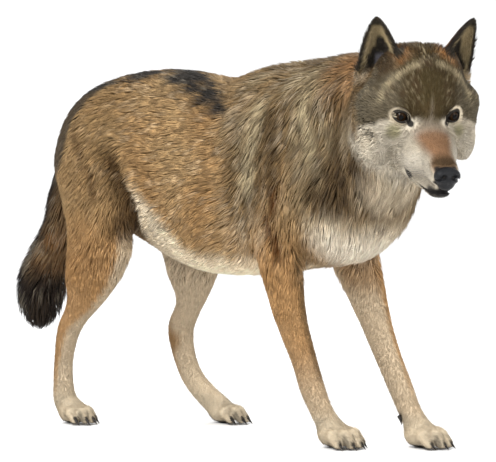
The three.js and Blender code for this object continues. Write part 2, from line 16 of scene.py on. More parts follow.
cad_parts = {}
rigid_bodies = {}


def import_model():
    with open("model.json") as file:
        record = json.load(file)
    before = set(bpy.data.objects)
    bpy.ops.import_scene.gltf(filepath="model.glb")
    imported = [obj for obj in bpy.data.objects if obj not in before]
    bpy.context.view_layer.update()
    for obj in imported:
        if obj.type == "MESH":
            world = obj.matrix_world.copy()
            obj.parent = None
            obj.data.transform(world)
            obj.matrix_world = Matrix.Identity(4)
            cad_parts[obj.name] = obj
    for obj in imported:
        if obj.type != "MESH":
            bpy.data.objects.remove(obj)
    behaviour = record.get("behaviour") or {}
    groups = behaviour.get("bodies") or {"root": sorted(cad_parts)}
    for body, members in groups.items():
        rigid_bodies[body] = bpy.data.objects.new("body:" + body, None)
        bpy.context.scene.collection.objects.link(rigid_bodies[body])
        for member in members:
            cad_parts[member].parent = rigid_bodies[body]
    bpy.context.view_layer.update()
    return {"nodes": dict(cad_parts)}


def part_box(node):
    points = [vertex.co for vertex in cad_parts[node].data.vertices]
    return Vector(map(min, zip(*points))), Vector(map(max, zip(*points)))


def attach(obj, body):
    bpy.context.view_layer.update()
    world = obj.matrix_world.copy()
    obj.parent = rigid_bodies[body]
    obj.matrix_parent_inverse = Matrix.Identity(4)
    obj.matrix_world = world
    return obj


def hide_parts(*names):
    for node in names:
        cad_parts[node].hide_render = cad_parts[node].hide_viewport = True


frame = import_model()

# %% [markdown]
# ## The body plan
# A mammal's body is told here as a field: a number at each point of space that is negative inside. Each mass
# of flesh is a rounded piece of the field, and neighbours melt into each other over a stated reach. The
# numbers are millimetres, with X along the body to the chest, Y to the wolf's left and Z up.

# %% Sizes of the trunk, neck and tail
SOLE = -9.0
TRUNK = {
    "x": [-566, -540, -503, -455, -400, -330, -250, -170, -100, -20, 70, 150, 215, 258],
    "low": [540, 486, 446, 416, 398, 368, 331, 306, 300, 303, 312, 326, 350, 388],
    "high": [600, 630, 660, 687, 703, 712, 713, 703, 690, 690, 690, 686, 668, 640],
    "half": [40, 66, 84, 99, 109, 116, 124, 132, 136, 137, 131, 119, 104, 80],
}
# Stations of a limb: x, y, z, depth from its middle to the coat's surface, and width over depth.
NECK = [
    [50, 0, 588, 98, 1.05],
    [135, -12, 602, 106, 1.0],
    [215, -45, 620, 104, 0.98],
    [300, -78, 631, 94, 0.98],
    [385, -102, 640, 80, 1.0],
]
THROAT = [
    [186, -2, 466, 100, 1.02],
    [268, -34, 500, 100, 1.0],
    [345, -82, 548, 76, 1.0],
    [418, -112, 590, 62, 1.0],
]
TAIL = [
    [-512, 0, 590, 46, 1.0],
    [-558, 0, 520, 40, 1.0],
    [-583, 0, 450, 42, 1.0],
    [-596, 0, 390, 45, 1.0],
    [-628, 0, 330, 55, 1.0],
    [-655, 0, 275, 61, 1.0],
    [-662, 0, 225, 45, 1.0],
    [-660, 0, 194, 20, 1.0],
]

# %% Sizes of the legs and paws
LEGS = {
    "fore_right": {
        "limb": [
            [74, -66, 590, 66, 0.62],
            [128, -88, 470, 62, 0.72],
            [88, -86, 385, 50, 0.78],
            [98, -80, 300, 40, 0.82],
            [111, -75, 230, 33.5, 0.82],
            [137, -66, 150, 27, 0.86],
            [152, -61, 100, 25.5, 0.95],
            [170, -56, 58, 23, 0.95],
            [188, -52, 28, 24, 1.05],
        ],
        "paw": [208, -49],
        "heading": -8,
    },
    "fore_left": {
        "limb": [
            [74, 66, 590, 66, 0.62],
            [150, 84, 468, 62, 0.74],
            [128, 82, 385, 52, 0.8],
            [155, 78, 312, 44, 0.82],
            [195, 72, 225, 33.5, 0.82],
            [232, 66, 155, 27.5, 0.86],
            [262, 63, 102, 25, 0.95],
            [286, 61, 58, 23, 0.95],
            [306, 60, 28, 24, 1.05],
        ],
        "paw": [326, 60],
        "heading": 2,
    },
    "hind_right": {
        "limb": [
            [-400, -66, 560, 104, 0.62],
            [-346, -98, 455, 84, 0.64],
            [-340, -112, 355, 62, 0.68],
            [-382, -113, 275, 43, 0.7],
            [-430, -111, 218, 31, 0.72],
            [-458, -109, 180, 28, 0.78],
            [-472, -108, 130, 23.5, 0.82],
            [-475, -108, 80, 23, 0.9],
            [-470, -108, 40, 25, 0.98],
            [-455, -108, 24, 25, 1.0],
        ],
        "buttock": [
            [-455, -78, 510, 62, 0.7],
            [-420, -100, 400, 50, 0.66],
            [-420, -110, 300, 34, 0.7],
        ],
        "paw": [-434, -108],
        "heading": -6,
    },
    "hind_left": {
        "limb": [
            [-392, 66, 560, 104, 0.62],
            [-328, 94, 445, 80, 0.64],
            [-292, 106, 360, 62, 0.68],
            [-302, 106, 290, 46, 0.7],
            [-321, 104, 225, 32, 0.72],
            [-341, 102, 180, 32, 0.78],
            [-330, 101, 124, 27, 0.82],
            [-303, 101, 76, 25, 0.9],
            [-262, 102, 42, 25, 0.95],
            [-236, 102, 26, 25, 1.0],
        ],
        "buttock": [
            [-440, 76, 508, 56, 0.7],
            [-376, 96, 410, 46, 0.66],
            [-340, 104, 310, 34, 0.7],
        ],
        "paw": [-207, 102],
        "heading": 4,
    },
}
FORE_PAW = {"spread": [-27, -10, 10, 27], "reach": [25, 40, 40, 25], "toe": 14, "palm": [34, 31, 24]}
HIND_PAW = {"spread": [-23, -8, 8, 23], "reach": [23, 38, 38, 23], "toe": 12.5, "palm": [31, 26, 22]}

# %% Sizes of the head
# The head has a frame of its own, with X to the nose, Y to the left and Z to the crown. Its origin lies just
# in front of the midpoint between the eyes.
HEAD_AT = np.array([475.0, -140.0, 594.0])
HEAD_TURN = {"yaw": -36, "pitch": 22, "roll": 1.2}
EYE_AT = np.array([-8.0, 45.0, -1.0])
EYE_RADIUS = 12.5
GAZE = np.array([0.95, 0.24, 0.06])
MUZZLE = {
    "x": [-10, 20, 50, 80, 106, 124],
    "low": [-88, -90, -90, -89, -87, -82],
    "high": [6, -6, -19, -30, -42, -52],
    "half": [44, 38, 32, 29, 27, 20],
}
JAW = {
    "x": [-60, -20, 20, 60, 92, 117],
    "low": [-114, -118, -118, -116, -113, -106],
    "high": [-70, -76, -82, -84, -84, -86],
    "half": [44, 38, 29, 24, 21, 15],
}
NOSE_ROOT = [116, 0, -63]
MUZZLE_BEND = 0.045
EAR = {
    "base": [-80, 66, 40],
    "tip": {-1: [-82, -83, 153], 1: [-80, 93, 146]},
    "turn": 30,
    "heights": [-24, 0, 30, 60, 86, 104, 115],
    "half": [40, 45, 42, 33, 22, 12, 2],
    "cup": 32,
    "wall": 9,
}

# %% [markdown]
# ## Rounded pieces of the field
# A ball, a rod between two stations and a loft along X are enough for a mammal. `blend` joins two pieces and
# `carve` cuts one with another. Each works on arrays of points.

# %% Small tools for fields
def ramp(value, low, high):
    """0 below low, 1 above high and smooth between."""
    t = np.clip((value - low) / (high - low), 0, 1)
    return t * t * (3 - 2 * t)


def unit(vectors):
    return vectors / np.maximum(np.linalg.norm(vectors, axis=-1, keepdims=True), 1e-9)


def along(xs, values, x):
    """Value of a table of stations at x, eased so that the outline has no corners."""
    xs = np.array(xs, float)
    values = np.array(values, float)
    last = len(xs) - 1
    above = np.minimum(np.arange(last + 1) + 1, last)
    below = np.maximum(np.arange(last + 1) - 1, 0)
    slope = (values[above] - values[below]) / (xs[above] - xs[below])
    x = np.clip(x, xs[0], xs[-1])
    i = np.clip(np.searchsorted(xs, x, side="right") - 1, 0, last - 1)
    span = xs[i + 1] - xs[i]
    t = (x - xs[i]) / span
    ease = t * (1 - t) * ((1 - t) * slope[i] - t * slope[i + 1]) * span
    return values[i] + (values[i + 1] - values[i]) * t * t * (3 - 2 * t) + ease


def near_place(p, centre, radii, edge, soft):
    """1 close to a place, falling to 0 at an edge over a soft band, both told as shares of the radii."""
    away = np.linalg.norm((p - np.array(centre, float)) / np.array(radii, float), axis=1)
    return ramp(edge - away, 0, soft)


def spot(p, centre, radii, soft=0.35):
    """1 inside an ellipsoid, falling to 0 over a soft edge."""
    return near_place(p, centre, radii, 1 + soft, 2 * soft)


def mirrored(p):
    """Points with the right side folded over on the left."""
    return np.stack([p[:, 0], np.abs(p[:, 1]), p[:, 2]], -1)


def blend(a, b, reach):
    """Two pieces in one, with a smooth valley where they meet."""
    h = np.maximum(reach - np.abs(a - b), 0) / reach
    return np.minimum(a, b) - h * h * reach / 4


def carve(a, b, reach):
    """What two pieces share, with a smooth edge. A cut is made by giving the cutter with its sign turned."""
    return -blend(-a, -b, reach)


def ball(p, centre, radii):
    """A ball or an ellipsoid."""
    q = p - np.array(centre, float)
    radii = np.array(radii, float) * np.ones(3)
    near = np.linalg.norm(q / radii, axis=-1)
    far = np.linalg.norm(q / radii**2, axis=-1)
    return np.where(far < 1e-9, -radii.min(), near * (near - 1) / np.maximum(far, 1e-9))


def rod(p, a, b):
    """A rounded rod between stations a and b."""
    a = np.array(a, float)
    b = np.array(b, float)
    whole = b[:3] - a[:3]
    length2 = whole @ whole
    place = np.clip((p - a[:3]) @ whole / length2, 0, 1)
    flat = a[4] + (b[4] - a[4]) * place
    middle = a[1] + whole[1] * place
    q = p.copy()
    q[:, 1] = middle + (p[:, 1] - middle) / flat
    t = np.clip((q - a[:3]) @ whole / length2, 0, 1)
    away = np.linalg.norm(q - a[:3] - t[:, None] * whole, axis=-1)
    return (away - (a[3] + (b[3] - a[3]) * t)) * np.minimum(flat, 1)


def boxed(p, low, high, field, reach=90):
    """The field near its box, and the plain distance to the box further off, which saves work."""
    d = np.maximum(low - p, p - high).max(1)
    pick = d < reach
    if pick.any():
        d[pick] = field(p[pick])
    return d


def limb(stations, steps=4):
    """A limb through a string of stations, rounded off between them."""
    s = np.array(stations, float)
    last = len(s) - 1
    fine = []
    for i in range(last):
        p0, p1, p2, p3 = (s[min(max(i + k, 0), last)] for k in (-1, 0, 1, 2))
        for t in np.arange(steps) / steps:
            bend = 2 * p0 - 5 * p1 + 4 * p2 - p3
            twist = 3 * p1 - p0 - 3 * p2 + p3
            fine.append(p1 + 0.5 * t * (p2 - p0 + bend * t + twist * t * t))
    fine.append(s[-1])
    fine = np.array(fine)
    low = (fine[:, :3] - fine[:, 3:4] * 1.1).min(0)
    high = (fine[:, :3] + fine[:, 3:4] * 1.1).max(0)

    def near(p):
        return np.min([rod(p, a, b) for a, b in zip(fine[:-1], fine[1:])], axis=0)

    return lambda p: boxed(p, low, high, near)


def loft(p, table, fullness, end_reach):
    """Rounded sections along X, fuller than an ellipse where the fullness is over 2."""
    low = along(table["x"], table["low"], p[:, 0])
    high = along(table["x"], table["high"], p[:, 0])
    half = along(table["x"], table["half"], p[:, 0])
    middle = (low + high) / 2
    up = (p[:, 2] - middle) / ((high - low) / 2)
    side = p[:, 1] / half
    ring = np.maximum((np.abs(up) ** fullness + np.abs(side) ** fullness) ** (1 / fullness), 1e-3)
    deep = -np.minimum(half, (high - low) / 2) * (1 - ring)
    out = np.where(ring < 0.2, deep, np.hypot(p[:, 1], p[:, 2] - middle) * (1 - 1 / ring))
    return carve(out, np.maximum(table["x"][0] - p[:, 0], p[:, 0] - table["x"][-1]), end_reach)


# %% [markdown]
# ## The masses of the body
# The head is placed by three turns, as on a neck. `masses` gives every mass's own field at once, because the
# coat's depth, length and lie are later told mass by mass and melted together in the same way.

# %% The head's own frame, and the drawing's place in the solid model
def turn_matrix(yaw, pitch, roll):
    y, p, r = (math.radians(v) for v in (yaw, pitch, roll))
    about_z = np.array([[math.cos(y), -math.sin(y), 0], [math.sin(y), math.cos(y), 0], [0, 0, 1]])
    about_y = np.array([[math.cos(p), 0, math.sin(p)], [0, 1, 0], [-math.sin(p), 0, math.cos(p)]])
    about_x = np.array([[1, 0, 0], [0, math.cos(r), -math.sin(r)], [0, math.sin(r), math.cos(r)]])
    return about_z @ about_y @ about_x


HEAD_AXES = turn_matrix(**HEAD_TURN)


def bent(q, amount):
    """Points with the muzzle swung a little sideways, in front of the eyes."""
    q = np.array(q, float)
    q[..., 1] += amount * np.clip(q[..., 0] - 20, 0, 110)
    return q


def to_head(p):
    return bent((p - HEAD_AT) @ HEAD_AXES, -MUZZLE_BEND)


def from_head(q):
    return HEAD_AT + bent(q, MUZZLE_BEND) @ HEAD_AXES.T


def sided(point, side):
    return np.array([point[0], point[1] * side, point[2]], float)


eye_middle = np.mean(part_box("eye_right"), axis=0) * 1000
SHIFT = eye_middle - from_head(sided(EYE_AT, -1))
print("the drawing moves by", SHIFT.round(2), "mm into the solid model")


# %% Trunk, neck, tail and legs
def trunk_field(p):
    d = loft(p, TRUNK, 2.15, 90)
    d = blend(d, ball(p, [50, 0, 630], [110, 70, 58]), 50)
    return blend(d, ball(p, [188, 0, 450], [108, 106, 106]), 50)


def paw_frame(p, leg):
    """Points in a paw's own frame: forward, to the left and up from the ground."""
    dx = p[:, 0] - leg["paw"][0]
    dy = p[:, 1] - leg["paw"][1]
    cosine, sine, _ = leg["ahead"]
    return np.stack([dx * cosine + dy * sine, dy * cosine - dx * sine, p[:, 2] - SOLE], -1)


def paw_field(p, leg, paw, crease):
    q = paw_frame(p, leg)
    d = ball(q, [-10, 0, paw["palm"][2] - 3], paw["palm"])
    for i, side in enumerate(paw["spread"]):
        root = [paw["reach"][i] - 32, side * 0.72, 26, paw["toe"] + 1, 1]
        knuckle = [paw["reach"][i] - 15, side * 0.95, 24, paw["toe"], 1]
        end = [paw["reach"][i] + 1, side * 1.06, 10, paw["toe"] - 3, 1]
        toe = blend(rod(q, root, knuckle), rod(q, knuckle, end), 4)
        d = blend(d, toe, 10 if i == 0 else crease)
    return d


neck_limb = limb(NECK)
throat_limb = limb(THROAT)
tail_limb = limb(TAIL)
for name, leg in LEGS.items():
    leg["side"] = -1 if "right" in name else 1
    leg["kind"] = FORE_PAW if "fore" in name else HIND_PAW
    leg["flesh"] = [limb(leg[key]) for key in ("limb", "buttock") if key in leg]
    heading = math.radians(leg["heading"])
    leg["ahead"] = np.array([math.cos(heading), math.sin(heading), 0])
    leg["across"] = np.array([-math.sin(heading), math.cos(heading), 0])
    leg["low"] = np.array([leg["paw"][0] - 50, leg["paw"][1] - 45, SOLE])
    leg["high"] = np.array([leg["paw"][0] + 60, leg["paw"][1] + 45, 50])


def leg_field(p, leg):
    d = leg["flesh"][0](p)
    for extra in leg["flesh"][1:]:
        d = blend(d, extra(p), 40)
    paw = boxed(p, leg["low"], leg["high"], lambda near: paw_field(near, leg, leg["kind"], 5), 40)
    return blend(d, paw, 16)


# %% Head and ears
def head_field(q):
    d = ball(q, [-68, 0, 31], [88, 76, 70])
    d = blend(d, ball(q, [-30, 0, 12], [38, 44, 32]), 30)
    for side in (-1, 1):
        d = blend(d, ball(q, [-70, side * 44, 60], [46, 34, 38]), 26)
        d = blend(d, ball(q, [-22, side * 34, 15], [20, 17, 13]), 14)
        d = blend(d, ball(q, [-38, side * 52, -34], [44, 28, 32]), 26)
        d = blend(d, ball(q, [-64, side * 80, 0], [44, 32, 42]), 34)
        d = blend(d, ball(q, [-72, side * 66, -44], [50, 48, 58]), 34)
        d = blend(d, ball(q, [-44, side * 84, -70], [26, 20, 28]), 30)
        d = blend(d, ball(q, [12, side * 26, -58], [48, 24, 34]), 20)
    d = blend(d, loft(q, MUZZLE, 2.3, 16), 22)
    d = blend(d, loft(q, JAW, 2.2, 14), 12)
    return blend(d, ball(q, NOSE_ROOT, [18, 21, 16]), 8)


def ear_frame(side):
    """The ear's base, its long axis, the way that its cup faces, and the way across."""
    base = sided(EAR["base"], side)
    axis = unit(np.array(EAR["tip"][side], float) - base)
    turn = math.radians(EAR["turn"])
    front = np.array([math.cos(turn), side * math.sin(turn), 0.0])
    front = unit(front - axis * (front @ axis))
    return base, axis, front, np.cross(axis, front)


def ear_place(q, side):
    """Height up the ear, share of its half width, and distance in front of its curved leaf."""
    base, axis, front, across = ear_frame(side)
    r = q - base
    z = r @ axis
    half = along(EAR["heights"], EAR["half"], z)
    depth = EAR["cup"] * np.clip(1 - (z / EAR["heights"][-1]) ** 2, 0, 1)
    share = np.clip((r @ across) / half, -1, 1)
    slope = 2 * depth * share / half
    ahead = (r @ front + depth * (1 - share**2)) / np.hypot(1, slope)
    return z, np.abs(r @ across) - half, share, ahead


def ear_field(q, side, wall, rim):
    z, over, share, ahead = ear_place(q, side)
    d = np.abs(ahead) - wall / 2 * (1 - 0.45 * np.abs(share) ** 4)
    d = carve(d, over + rim, 4)
    return carve(d, np.maximum(z - EAR["heights"][-1] + rim, EAR["heights"][0] - z), 4)


HEAD_LOW = np.array([-130.0, -125.0, -135.0])
HEAD_HIGH = np.array([140.0, 125.0, 115.0])


def masses(p):
    """The field of each mass at points p, by name."""
    q = to_head(p)
    found = {
        "trunk": trunk_field(p),
        "neck": neck_limb(p),
        "throat": throat_limb(p),
        "head": boxed(q, HEAD_LOW, HEAD_HIGH, head_field),
        "tail": tail_limb(p),
    }
    for name, leg in LEGS.items():
        found[name] = leg_field(p, leg)
    return found


def coat_field(found):
    """The whole animal out to the tips of its coat, but its ears."""
    d = blend(found["trunk"], blend(found["neck"], found["throat"], 60), 70)
    d = blend(d, found["head"], 34)
    d = blend(d, found["tail"], 22)
    for name in LEGS:
        d = blend(d, found[name], 34 if "fore" in name else 40)
    return d


# %% [markdown]
# ## How deep the coat is
# A wolf's fur is up to 70 mm long on the neck and about 8 mm on the muzzle and the feet. The skin is the same
# field, drawn in by the coat's depth at that place. Each mass states its depth, and a share for each mass,
# which falls off with distance, melts them together so that no step shows.

# %% Shares of the masses, and the depth of the coat
def shares(found, p, reach=14.0):
    """How much each mass counts at each point. The face belongs to the head alone."""
    names = list(found)
    d = np.stack([found[n] for n in names])
    q = to_head(p)
    d[names.index("head")] -= 45 * ramp(q[:, 0], -75, -25) * ramp(q[:, 2], -150, -112)
    w = np.exp(-np.clip((d - d.min(0)) / reach, 0, 40))
    return dict(zip(names, w / w.sum(0)))


def coat_depth(p, share):
    q = to_head(p)
    face = ramp(-q[:, 0], 4, 78)
    cheek = ramp(-q[:, 2], -40, 30)
    depth = share["trunk"] * (12 + 5 * ramp(p[:, 0], -40, 90))
    depth += share["neck"] * 25
    depth += share["throat"] * 22
    depth += share["head"] * (2.2 + face * (6 + 9 * cheek))
    tail_radius = along([192, 225, 275, 330, 390, 450, 590], [26, 50, 61, 55, 45, 40, 46], p[:, 2])
    depth += share["tail"] * tail_radius * (0.52 - 0.2 * ramp(p[:, 2], 470, 570))
    for name in LEGS:
        full = (280, 390) if "fore" in name else (240, 400)
        depth += share[name] * (2.6 + 9 * ramp(p[:, 2], *full))
    return depth


# %% [markdown]
# ## The face
# The skin adds what the solid model leaves out: sockets, lids with an almond opening, a groove between the
# lips and thinner ears. An eyelid is a shell round the eyeball, so here it is a ball a little larger than the
# eye, melted into the face, with the eyeball's room and the opening carved out of it.

# %% The eye's own directions
def eye_axes(side):
    gaze = unit(sided(GAZE, side))
    outer = np.array([-25.0, 28.0 * side, 10.0])
    across = unit(outer - gaze * (outer @ gaze))
    up = np.cross(gaze, across) * side
    return gaze, across, up * np.sign(up[2])


LID = {"half": 12.2, "upper": 8.4, "lower": 6.8, "shell": 2.3}


def lid_opening(q, side):
    """Below 0 between the lids, about the distance to their edge."""
    gaze, across, up = eye_axes(side)
    r = q - sided(EYE_AT, side)
    u = r @ across
    v = r @ up
    bow = np.clip(1 - (u / LID["half"]) ** 2, 0, 1)
    top = LID["upper"] * bow**0.8
    bottom = LID["lower"] * bow
    return np.maximum(np.maximum(v - top, -v - bottom), np.abs(u) - LID["half"]), r @ gaze


def with_eye(d, q, side):
    gaze = unit(sided(GAZE, side))
    middle = sided(EYE_AT, side)
    d = carve(d, -ball(q, middle + gaze * 10, [16, 16, 16]), 8)
    d = blend(d, ball(q, middle, EYE_RADIUS + LID["shell"]), 5)
    opening, ahead = lid_opening(q, side)
    d = carve(d, -np.maximum(opening, 2 - ahead), 1.5)
    return carve(d, -ball(q, middle, EYE_RADIUS + 0.35), 0.8)


# %% The lips
def lip_line(x):
    """Height of the line between the lips, from the corner of the mouth to under the nose."""
    return along([-4, 8, 22, 50, 80, 104, 120], [-86, -91, -100, -106, -104, -98, -92], x)


def lip_place(q):
    """Distance from the line between the lips, and how much of it shows there."""
    return np.abs(q[:, 2] - lip_line(q[:, 0])), ramp(q[:, 0], 2, 12)


# %% Folds of the hide
# Each fold is told by heights, and by where it stands along the body at them.
ELBOW_FOLD = [[345, 390, 409, 420, 431, 457], [106, 99, 96, 101, 117, 116]]
HAUNCH_FOLD = [[458, 492, 518, 549, 579], [-345, -360, -384, -406, -425]]
FLANK_FOLD = [[389, 419, 448, 498, 527, 560], [-272, -262, -262, -287, -304, -318]]


def line_mark(p, z_values, x_values, half, soft, ends=30):
    """1 along an upright line of the flank, falling to 0 at its sides and its ends."""
    x, _, z = p.T
    away = np.abs(x - along(z_values, x_values, z))
    fade = ramp(z, z_values[0] - ends, z_values[0]) * ramp(z_values[-1] + ends - z, 0, ends)
    return ramp(half + soft - away, 0, 2 * soft) * fade


def flank_shade(p, reach):
    """1 just behind the edge of the flank, where it overlaps the thigh, falling to 0 further back."""
    x, _, z = p.T
    behind = along(*FLANK_FOLD, z) - x
    shade = ramp(behind, -10, 2) * ramp(reach - behind, 0, 0.6 * reach)
    return shade * ramp(z, 345, 390) * ramp(575 - z, 0, 60)


def fold_depth(p):
    """How far the folds lower the hide."""
    lowered = 6 * line_mark(p, *ELBOW_FOLD, 3, 9)
    lowered += 6 * line_mark(p, *HAUNCH_FOLD, 3, 10)
    lowered += 9 * flank_shade(p, 60)
    return lowered * ramp(np.abs(p[:, 1]), 55, 85)


def skin_field(p):
    """The animal without its fur."""
    found = masses(p)
    d = coat_field(found) + coat_depth(p, shares(found, p)) + fold_depth(p)
    q = to_head(p)
    near = np.maximum(HEAD_LOW - q, q - HEAD_HIGH - [0, 0, 70]).max(1) < 20
    if near.any():
        face = d[near]
        h = q[near]
        for side in (-1, 1):
            face = blend(face, ear_field(h, side, 5.6, 2.0), 14)
            face = with_eye(face, h, side)
        from_line, shown = lip_place(h)
        groove = np.hypot(from_line, np.minimum(face + 1.5, 0)) - 2.6 * shown
        face = carve(face, -groove, 1.5)
        d[near] = face
    return np.maximum(d, SOLE + 0.4 - p[:, 2])


# %% [markdown]
# ## From field to mesh
# Surface nets put one point in each grid cell that the surface crosses, and a four-sided face round each grid
# edge that it crosses. The face and paws need finer cells than the flanks, so each has a block of finer cells
# of its own. The blocks are zipped together along their rims, which keeps the whole skin one closed surface.

# %% Surface nets in a block of cells
def signs_and_values(field, axes, cell):
    """The field on a grid, measured only where the surface can be near."""
    stride = 4
    counts = [len(a) for a in axes]
    coarse = [np.append(a[::stride], a[-1] + cell) for a in axes]
    grid = np.stack(np.meshgrid(*coarse, indexing="ij"), -1).reshape(-1, 3)
    rough = field(grid).reshape([len(c) for c in coarse])
    near = np.abs(rough) < stride * cell * 1.75 + 4
    block = [np.arange(n) // stride for n in counts]
    close = np.zeros(counts, bool)
    sign = rough[np.ix_(*block)]
    for step in np.ndindex(2, 2, 2):
        pick = [np.minimum(b + s, len(c) - 1) for b, s, c in zip(block, step, coarse)]
        close |= near[np.ix_(*pick)]
    value = np.where(sign < 0, -1e3, 1e3)
    where = np.argwhere(close)
    points = np.stack([axes[i][where[:, i]] for i in range(3)], -1)
    for start in range(0, len(points), 150000):
        part = where[start : start + 150000]
        value[part[:, 0], part[:, 1], part[:, 2]] = field(points[start : start + 150000])
    return value


CORNERS = [(a, b, c) for a in (0, 1) for b in (0, 1) for c in (0, 1)]


def net_block(field, low, high, cell, holes=()):
    """Points and faces in the block, leaving out the cells of the holes."""
    counts = np.round((high - low) / cell).astype(int)
    axes = [low[i] + np.arange(counts[i] + 1) * cell for i in range(3)]
    value = signs_and_values(field, axes, cell)
    inside = value < 0
    total = np.zeros(counts, int)
    for a, b, c in CORNERS:
        total += inside[a : a + counts[0], b : b + counts[1], c : c + counts[2]]
    active = (total > 0) & (total < 8)
    for hole_low, hole_high in holes:
        a = np.round((hole_low - low) / cell).astype(int)
        b = np.round((hole_high - low) / cell).astype(int)
        active[a[0] : b[0], a[1] : b[1], a[2] : b[2]] = False
    cells = np.argwhere(active)
    number = np.full(counts, -1)
    number[active] = np.arange(len(cells))
    total_cut = np.zeros((len(cells), 3))
    cuts = np.zeros(len(cells))
    for corner in CORNERS:
        for axis in range(3):
            if corner[axis]:
                continue
            other = list(corner)
            other[axis] = 1
            v0 = value[tuple((cells + corner).T)]
            v1 = value[tuple((cells + other).T)]
            crossed = (v0 < 0) != (v1 < 0)
            t = np.where(crossed, v0 / np.where(crossed, v0 - v1, 1), 0)
            spot = np.tile(np.array(corner, float), (len(cells), 1))
            spot[:, axis] = t
            total_cut += spot * crossed[:, None]
            cuts += crossed
    points = low + (cells + total_cut / cuts[:, None]) * cell
    faces = []
    for axis in range(3):
        b, c = (axis + 1) % 3, (axis + 2) % 3
        first = [slice(1, n) for n in counts]
        first[axis] = slice(0, counts[axis])
        second = list(first)
        second[axis] = slice(1, counts[axis] + 1)
        here = inside[tuple(first)]
        changes = np.argwhere(here != inside[tuple(second)])
        starts = here[tuple(changes.T)]
        offset = np.ones(3, int)
        offset[axis] = 0
        spot = changes + offset

        def cell_at(db, dc):
            at = spot.copy()
            at[:, b] += db
            at[:, c] += dc
            return number[tuple(at.T)]

        quad = np.stack([cell_at(-1, -1), cell_at(0, -1), cell_at(0, 0), cell_at(-1, 0)], -1)
        keep = (quad >= 0).all(1)
        faces.append(np.where(starts[keep][:, None], quad[keep], quad[keep][:, ::-1]))
    return points, np.vstack(faces)


def on_surface(field, points, cell, turns=2):
    """Moves points on to the surface, along the field's slope."""
    step = 0.4
    for _ in range(turns):
        d = field(points)
        slope = np.stack([field(points + np.eye(3)[i] * step) - d for i in range(3)], -1) / step
        reach = np.clip(-d, -cell / 2, cell / 2) / np.maximum((slope**2).sum(-1), 0.35)
        points = points + slope * reach[:, None]
    return points


# %% Zip two rims together
def rims(faces):
    """The open rims of a mesh, each a ring of point numbers in the faces' own direction."""
    edges = np.vstack([faces[:, [k, (k + 1) % 4]] for k in range(4)])
    known = set(map(tuple, edges.tolist()))
    follow = {a: b for a, b in known if (b, a) not in known}
    rings = []
    while follow:
        start, here = follow.popitem()
        ring = [start]
        while here != start and here in follow:
            ring.append(here)
            here = follow.pop(here)
        if len(ring) > 8:
            rings.append(ring)
    return rings


def zip_rims(points, outer, inner):
    """Triangles between a ring of coarse cells and the ring of fine cells inside it."""
    a = np.array(outer)
    b = np.array(inner)[::-1]
    first = np.linalg.norm(points[b] - points[a[0]], axis=1).argmin()
    b = np.roll(b, -first)
    a = np.append(a, a[0])
    b = np.append(b, b[0])
    i = j = 0
    strip = []
    while i < len(a) - 1 or j < len(b) - 1:
        step_a = np.linalg.norm(points[a[min(i + 1, len(a) - 1)]] - points[b[j]])
        step_b = np.linalg.norm(points[a[i]] - points[b[min(j + 1, len(b) - 1)]])
        if j == len(b) - 1 or (i < len(a) - 1 and step_a < step_b):
            strip.append([a[i + 1], a[i], b[j]])
            i += 1
        else:
            strip.append([b[j], b[j + 1], a[i]])
            j += 1
    return strip


# %% [markdown]
# ## The skin
# Eight blocks: the body in cells of 8 mm, the head at a third of that, each of four paws at half, and each
# eye at half of the head's.

# %% Mesh the skin
BODY_CELL = 8.0
HEAD_CELL = BODY_CELL / 3
PAW_CELL = BODY_CELL / 2
EYE_CELL = HEAD_CELL / 2
EYE_BLOCK = 23
BODY_LOW = np.array([-760.0, -232.0, -40.0])
BODY_HIGH = np.array([680.0, 240.0, 800.0])


def snapped(low, high, cell):
    """A block grown to whole cells of a size."""
    return (
        BODY_LOW + np.floor((np.array(low) - BODY_LOW) / cell) * cell,
        BODY_LOW + np.ceil((np.array(high) - BODY_LOW) / cell) * cell,
    )


head_block = snapped([328, -232, 408], [672, 70, 790], BODY_CELL)
paw_blocks = []
for leg in LEGS.values():
    x, y = leg["paw"]
    paw_blocks.append(snapped([x - 92, y - 56, -30], [x + 84, y + 56, 58], BODY_CELL))
eye_blocks = []
for side in (-1, 1):
    middle = from_head(sided(EYE_AT, side))
    eye_blocks.append(snapped(middle - EYE_BLOCK, middle + EYE_BLOCK, HEAD_CELL))

# Each block: its corners, its cell, the holes left for finer blocks, and the block that it sits in.
blocks = [(BODY_LOW, BODY_HIGH, BODY_CELL, [head_block, *paw_blocks], None)]
blocks.append((*head_block, HEAD_CELL, eye_blocks, 0))
blocks += [(*block, PAW_CELL, [], 0) for block in paw_blocks]
blocks += [(*block, EYE_CELL, [], 1) for block in eye_blocks]

skin_points = np.zeros((0, 3))
skin_quads = []
block_rims = []
for low, high, cell, holes, _ in blocks:
    points, quads = net_block(skin_field, low, high, cell, holes)
    points = on_surface(skin_field, points, cell)
    block_rims.append([[v + len(skin_points) for v in ring] for ring in rims(quads)])
    skin_quads.append(quads + len(skin_points))
    skin_points = np.vstack([skin_points, points])
skin_quads = np.vstack(skin_quads)

strips = []
for number, (_, _, _, _, parent) in enumerate(blocks):
    if parent is None:
        continue
    for inner in block_rims[number]:
        middle = skin_points[inner].mean(0)
        ranked = sorted(block_rims[parent], key=lambda r: np.linalg.norm(skin_points[r].mean(0) - middle))
        strips += zip_rims(skin_points, ranked[0], inner)
skin_triangles = np.array(strips)
print("skin:", len(skin_points), "points,", len(skin_quads), "quads,", len(skin_triangles), "triangles")

# %% [markdown]
# The skin becomes a Blender mesh in metres, smooth shaded. Its unwrap lays each stretch of hide flat, and
# each tuft of the coat later takes the place on that map where its root stands.

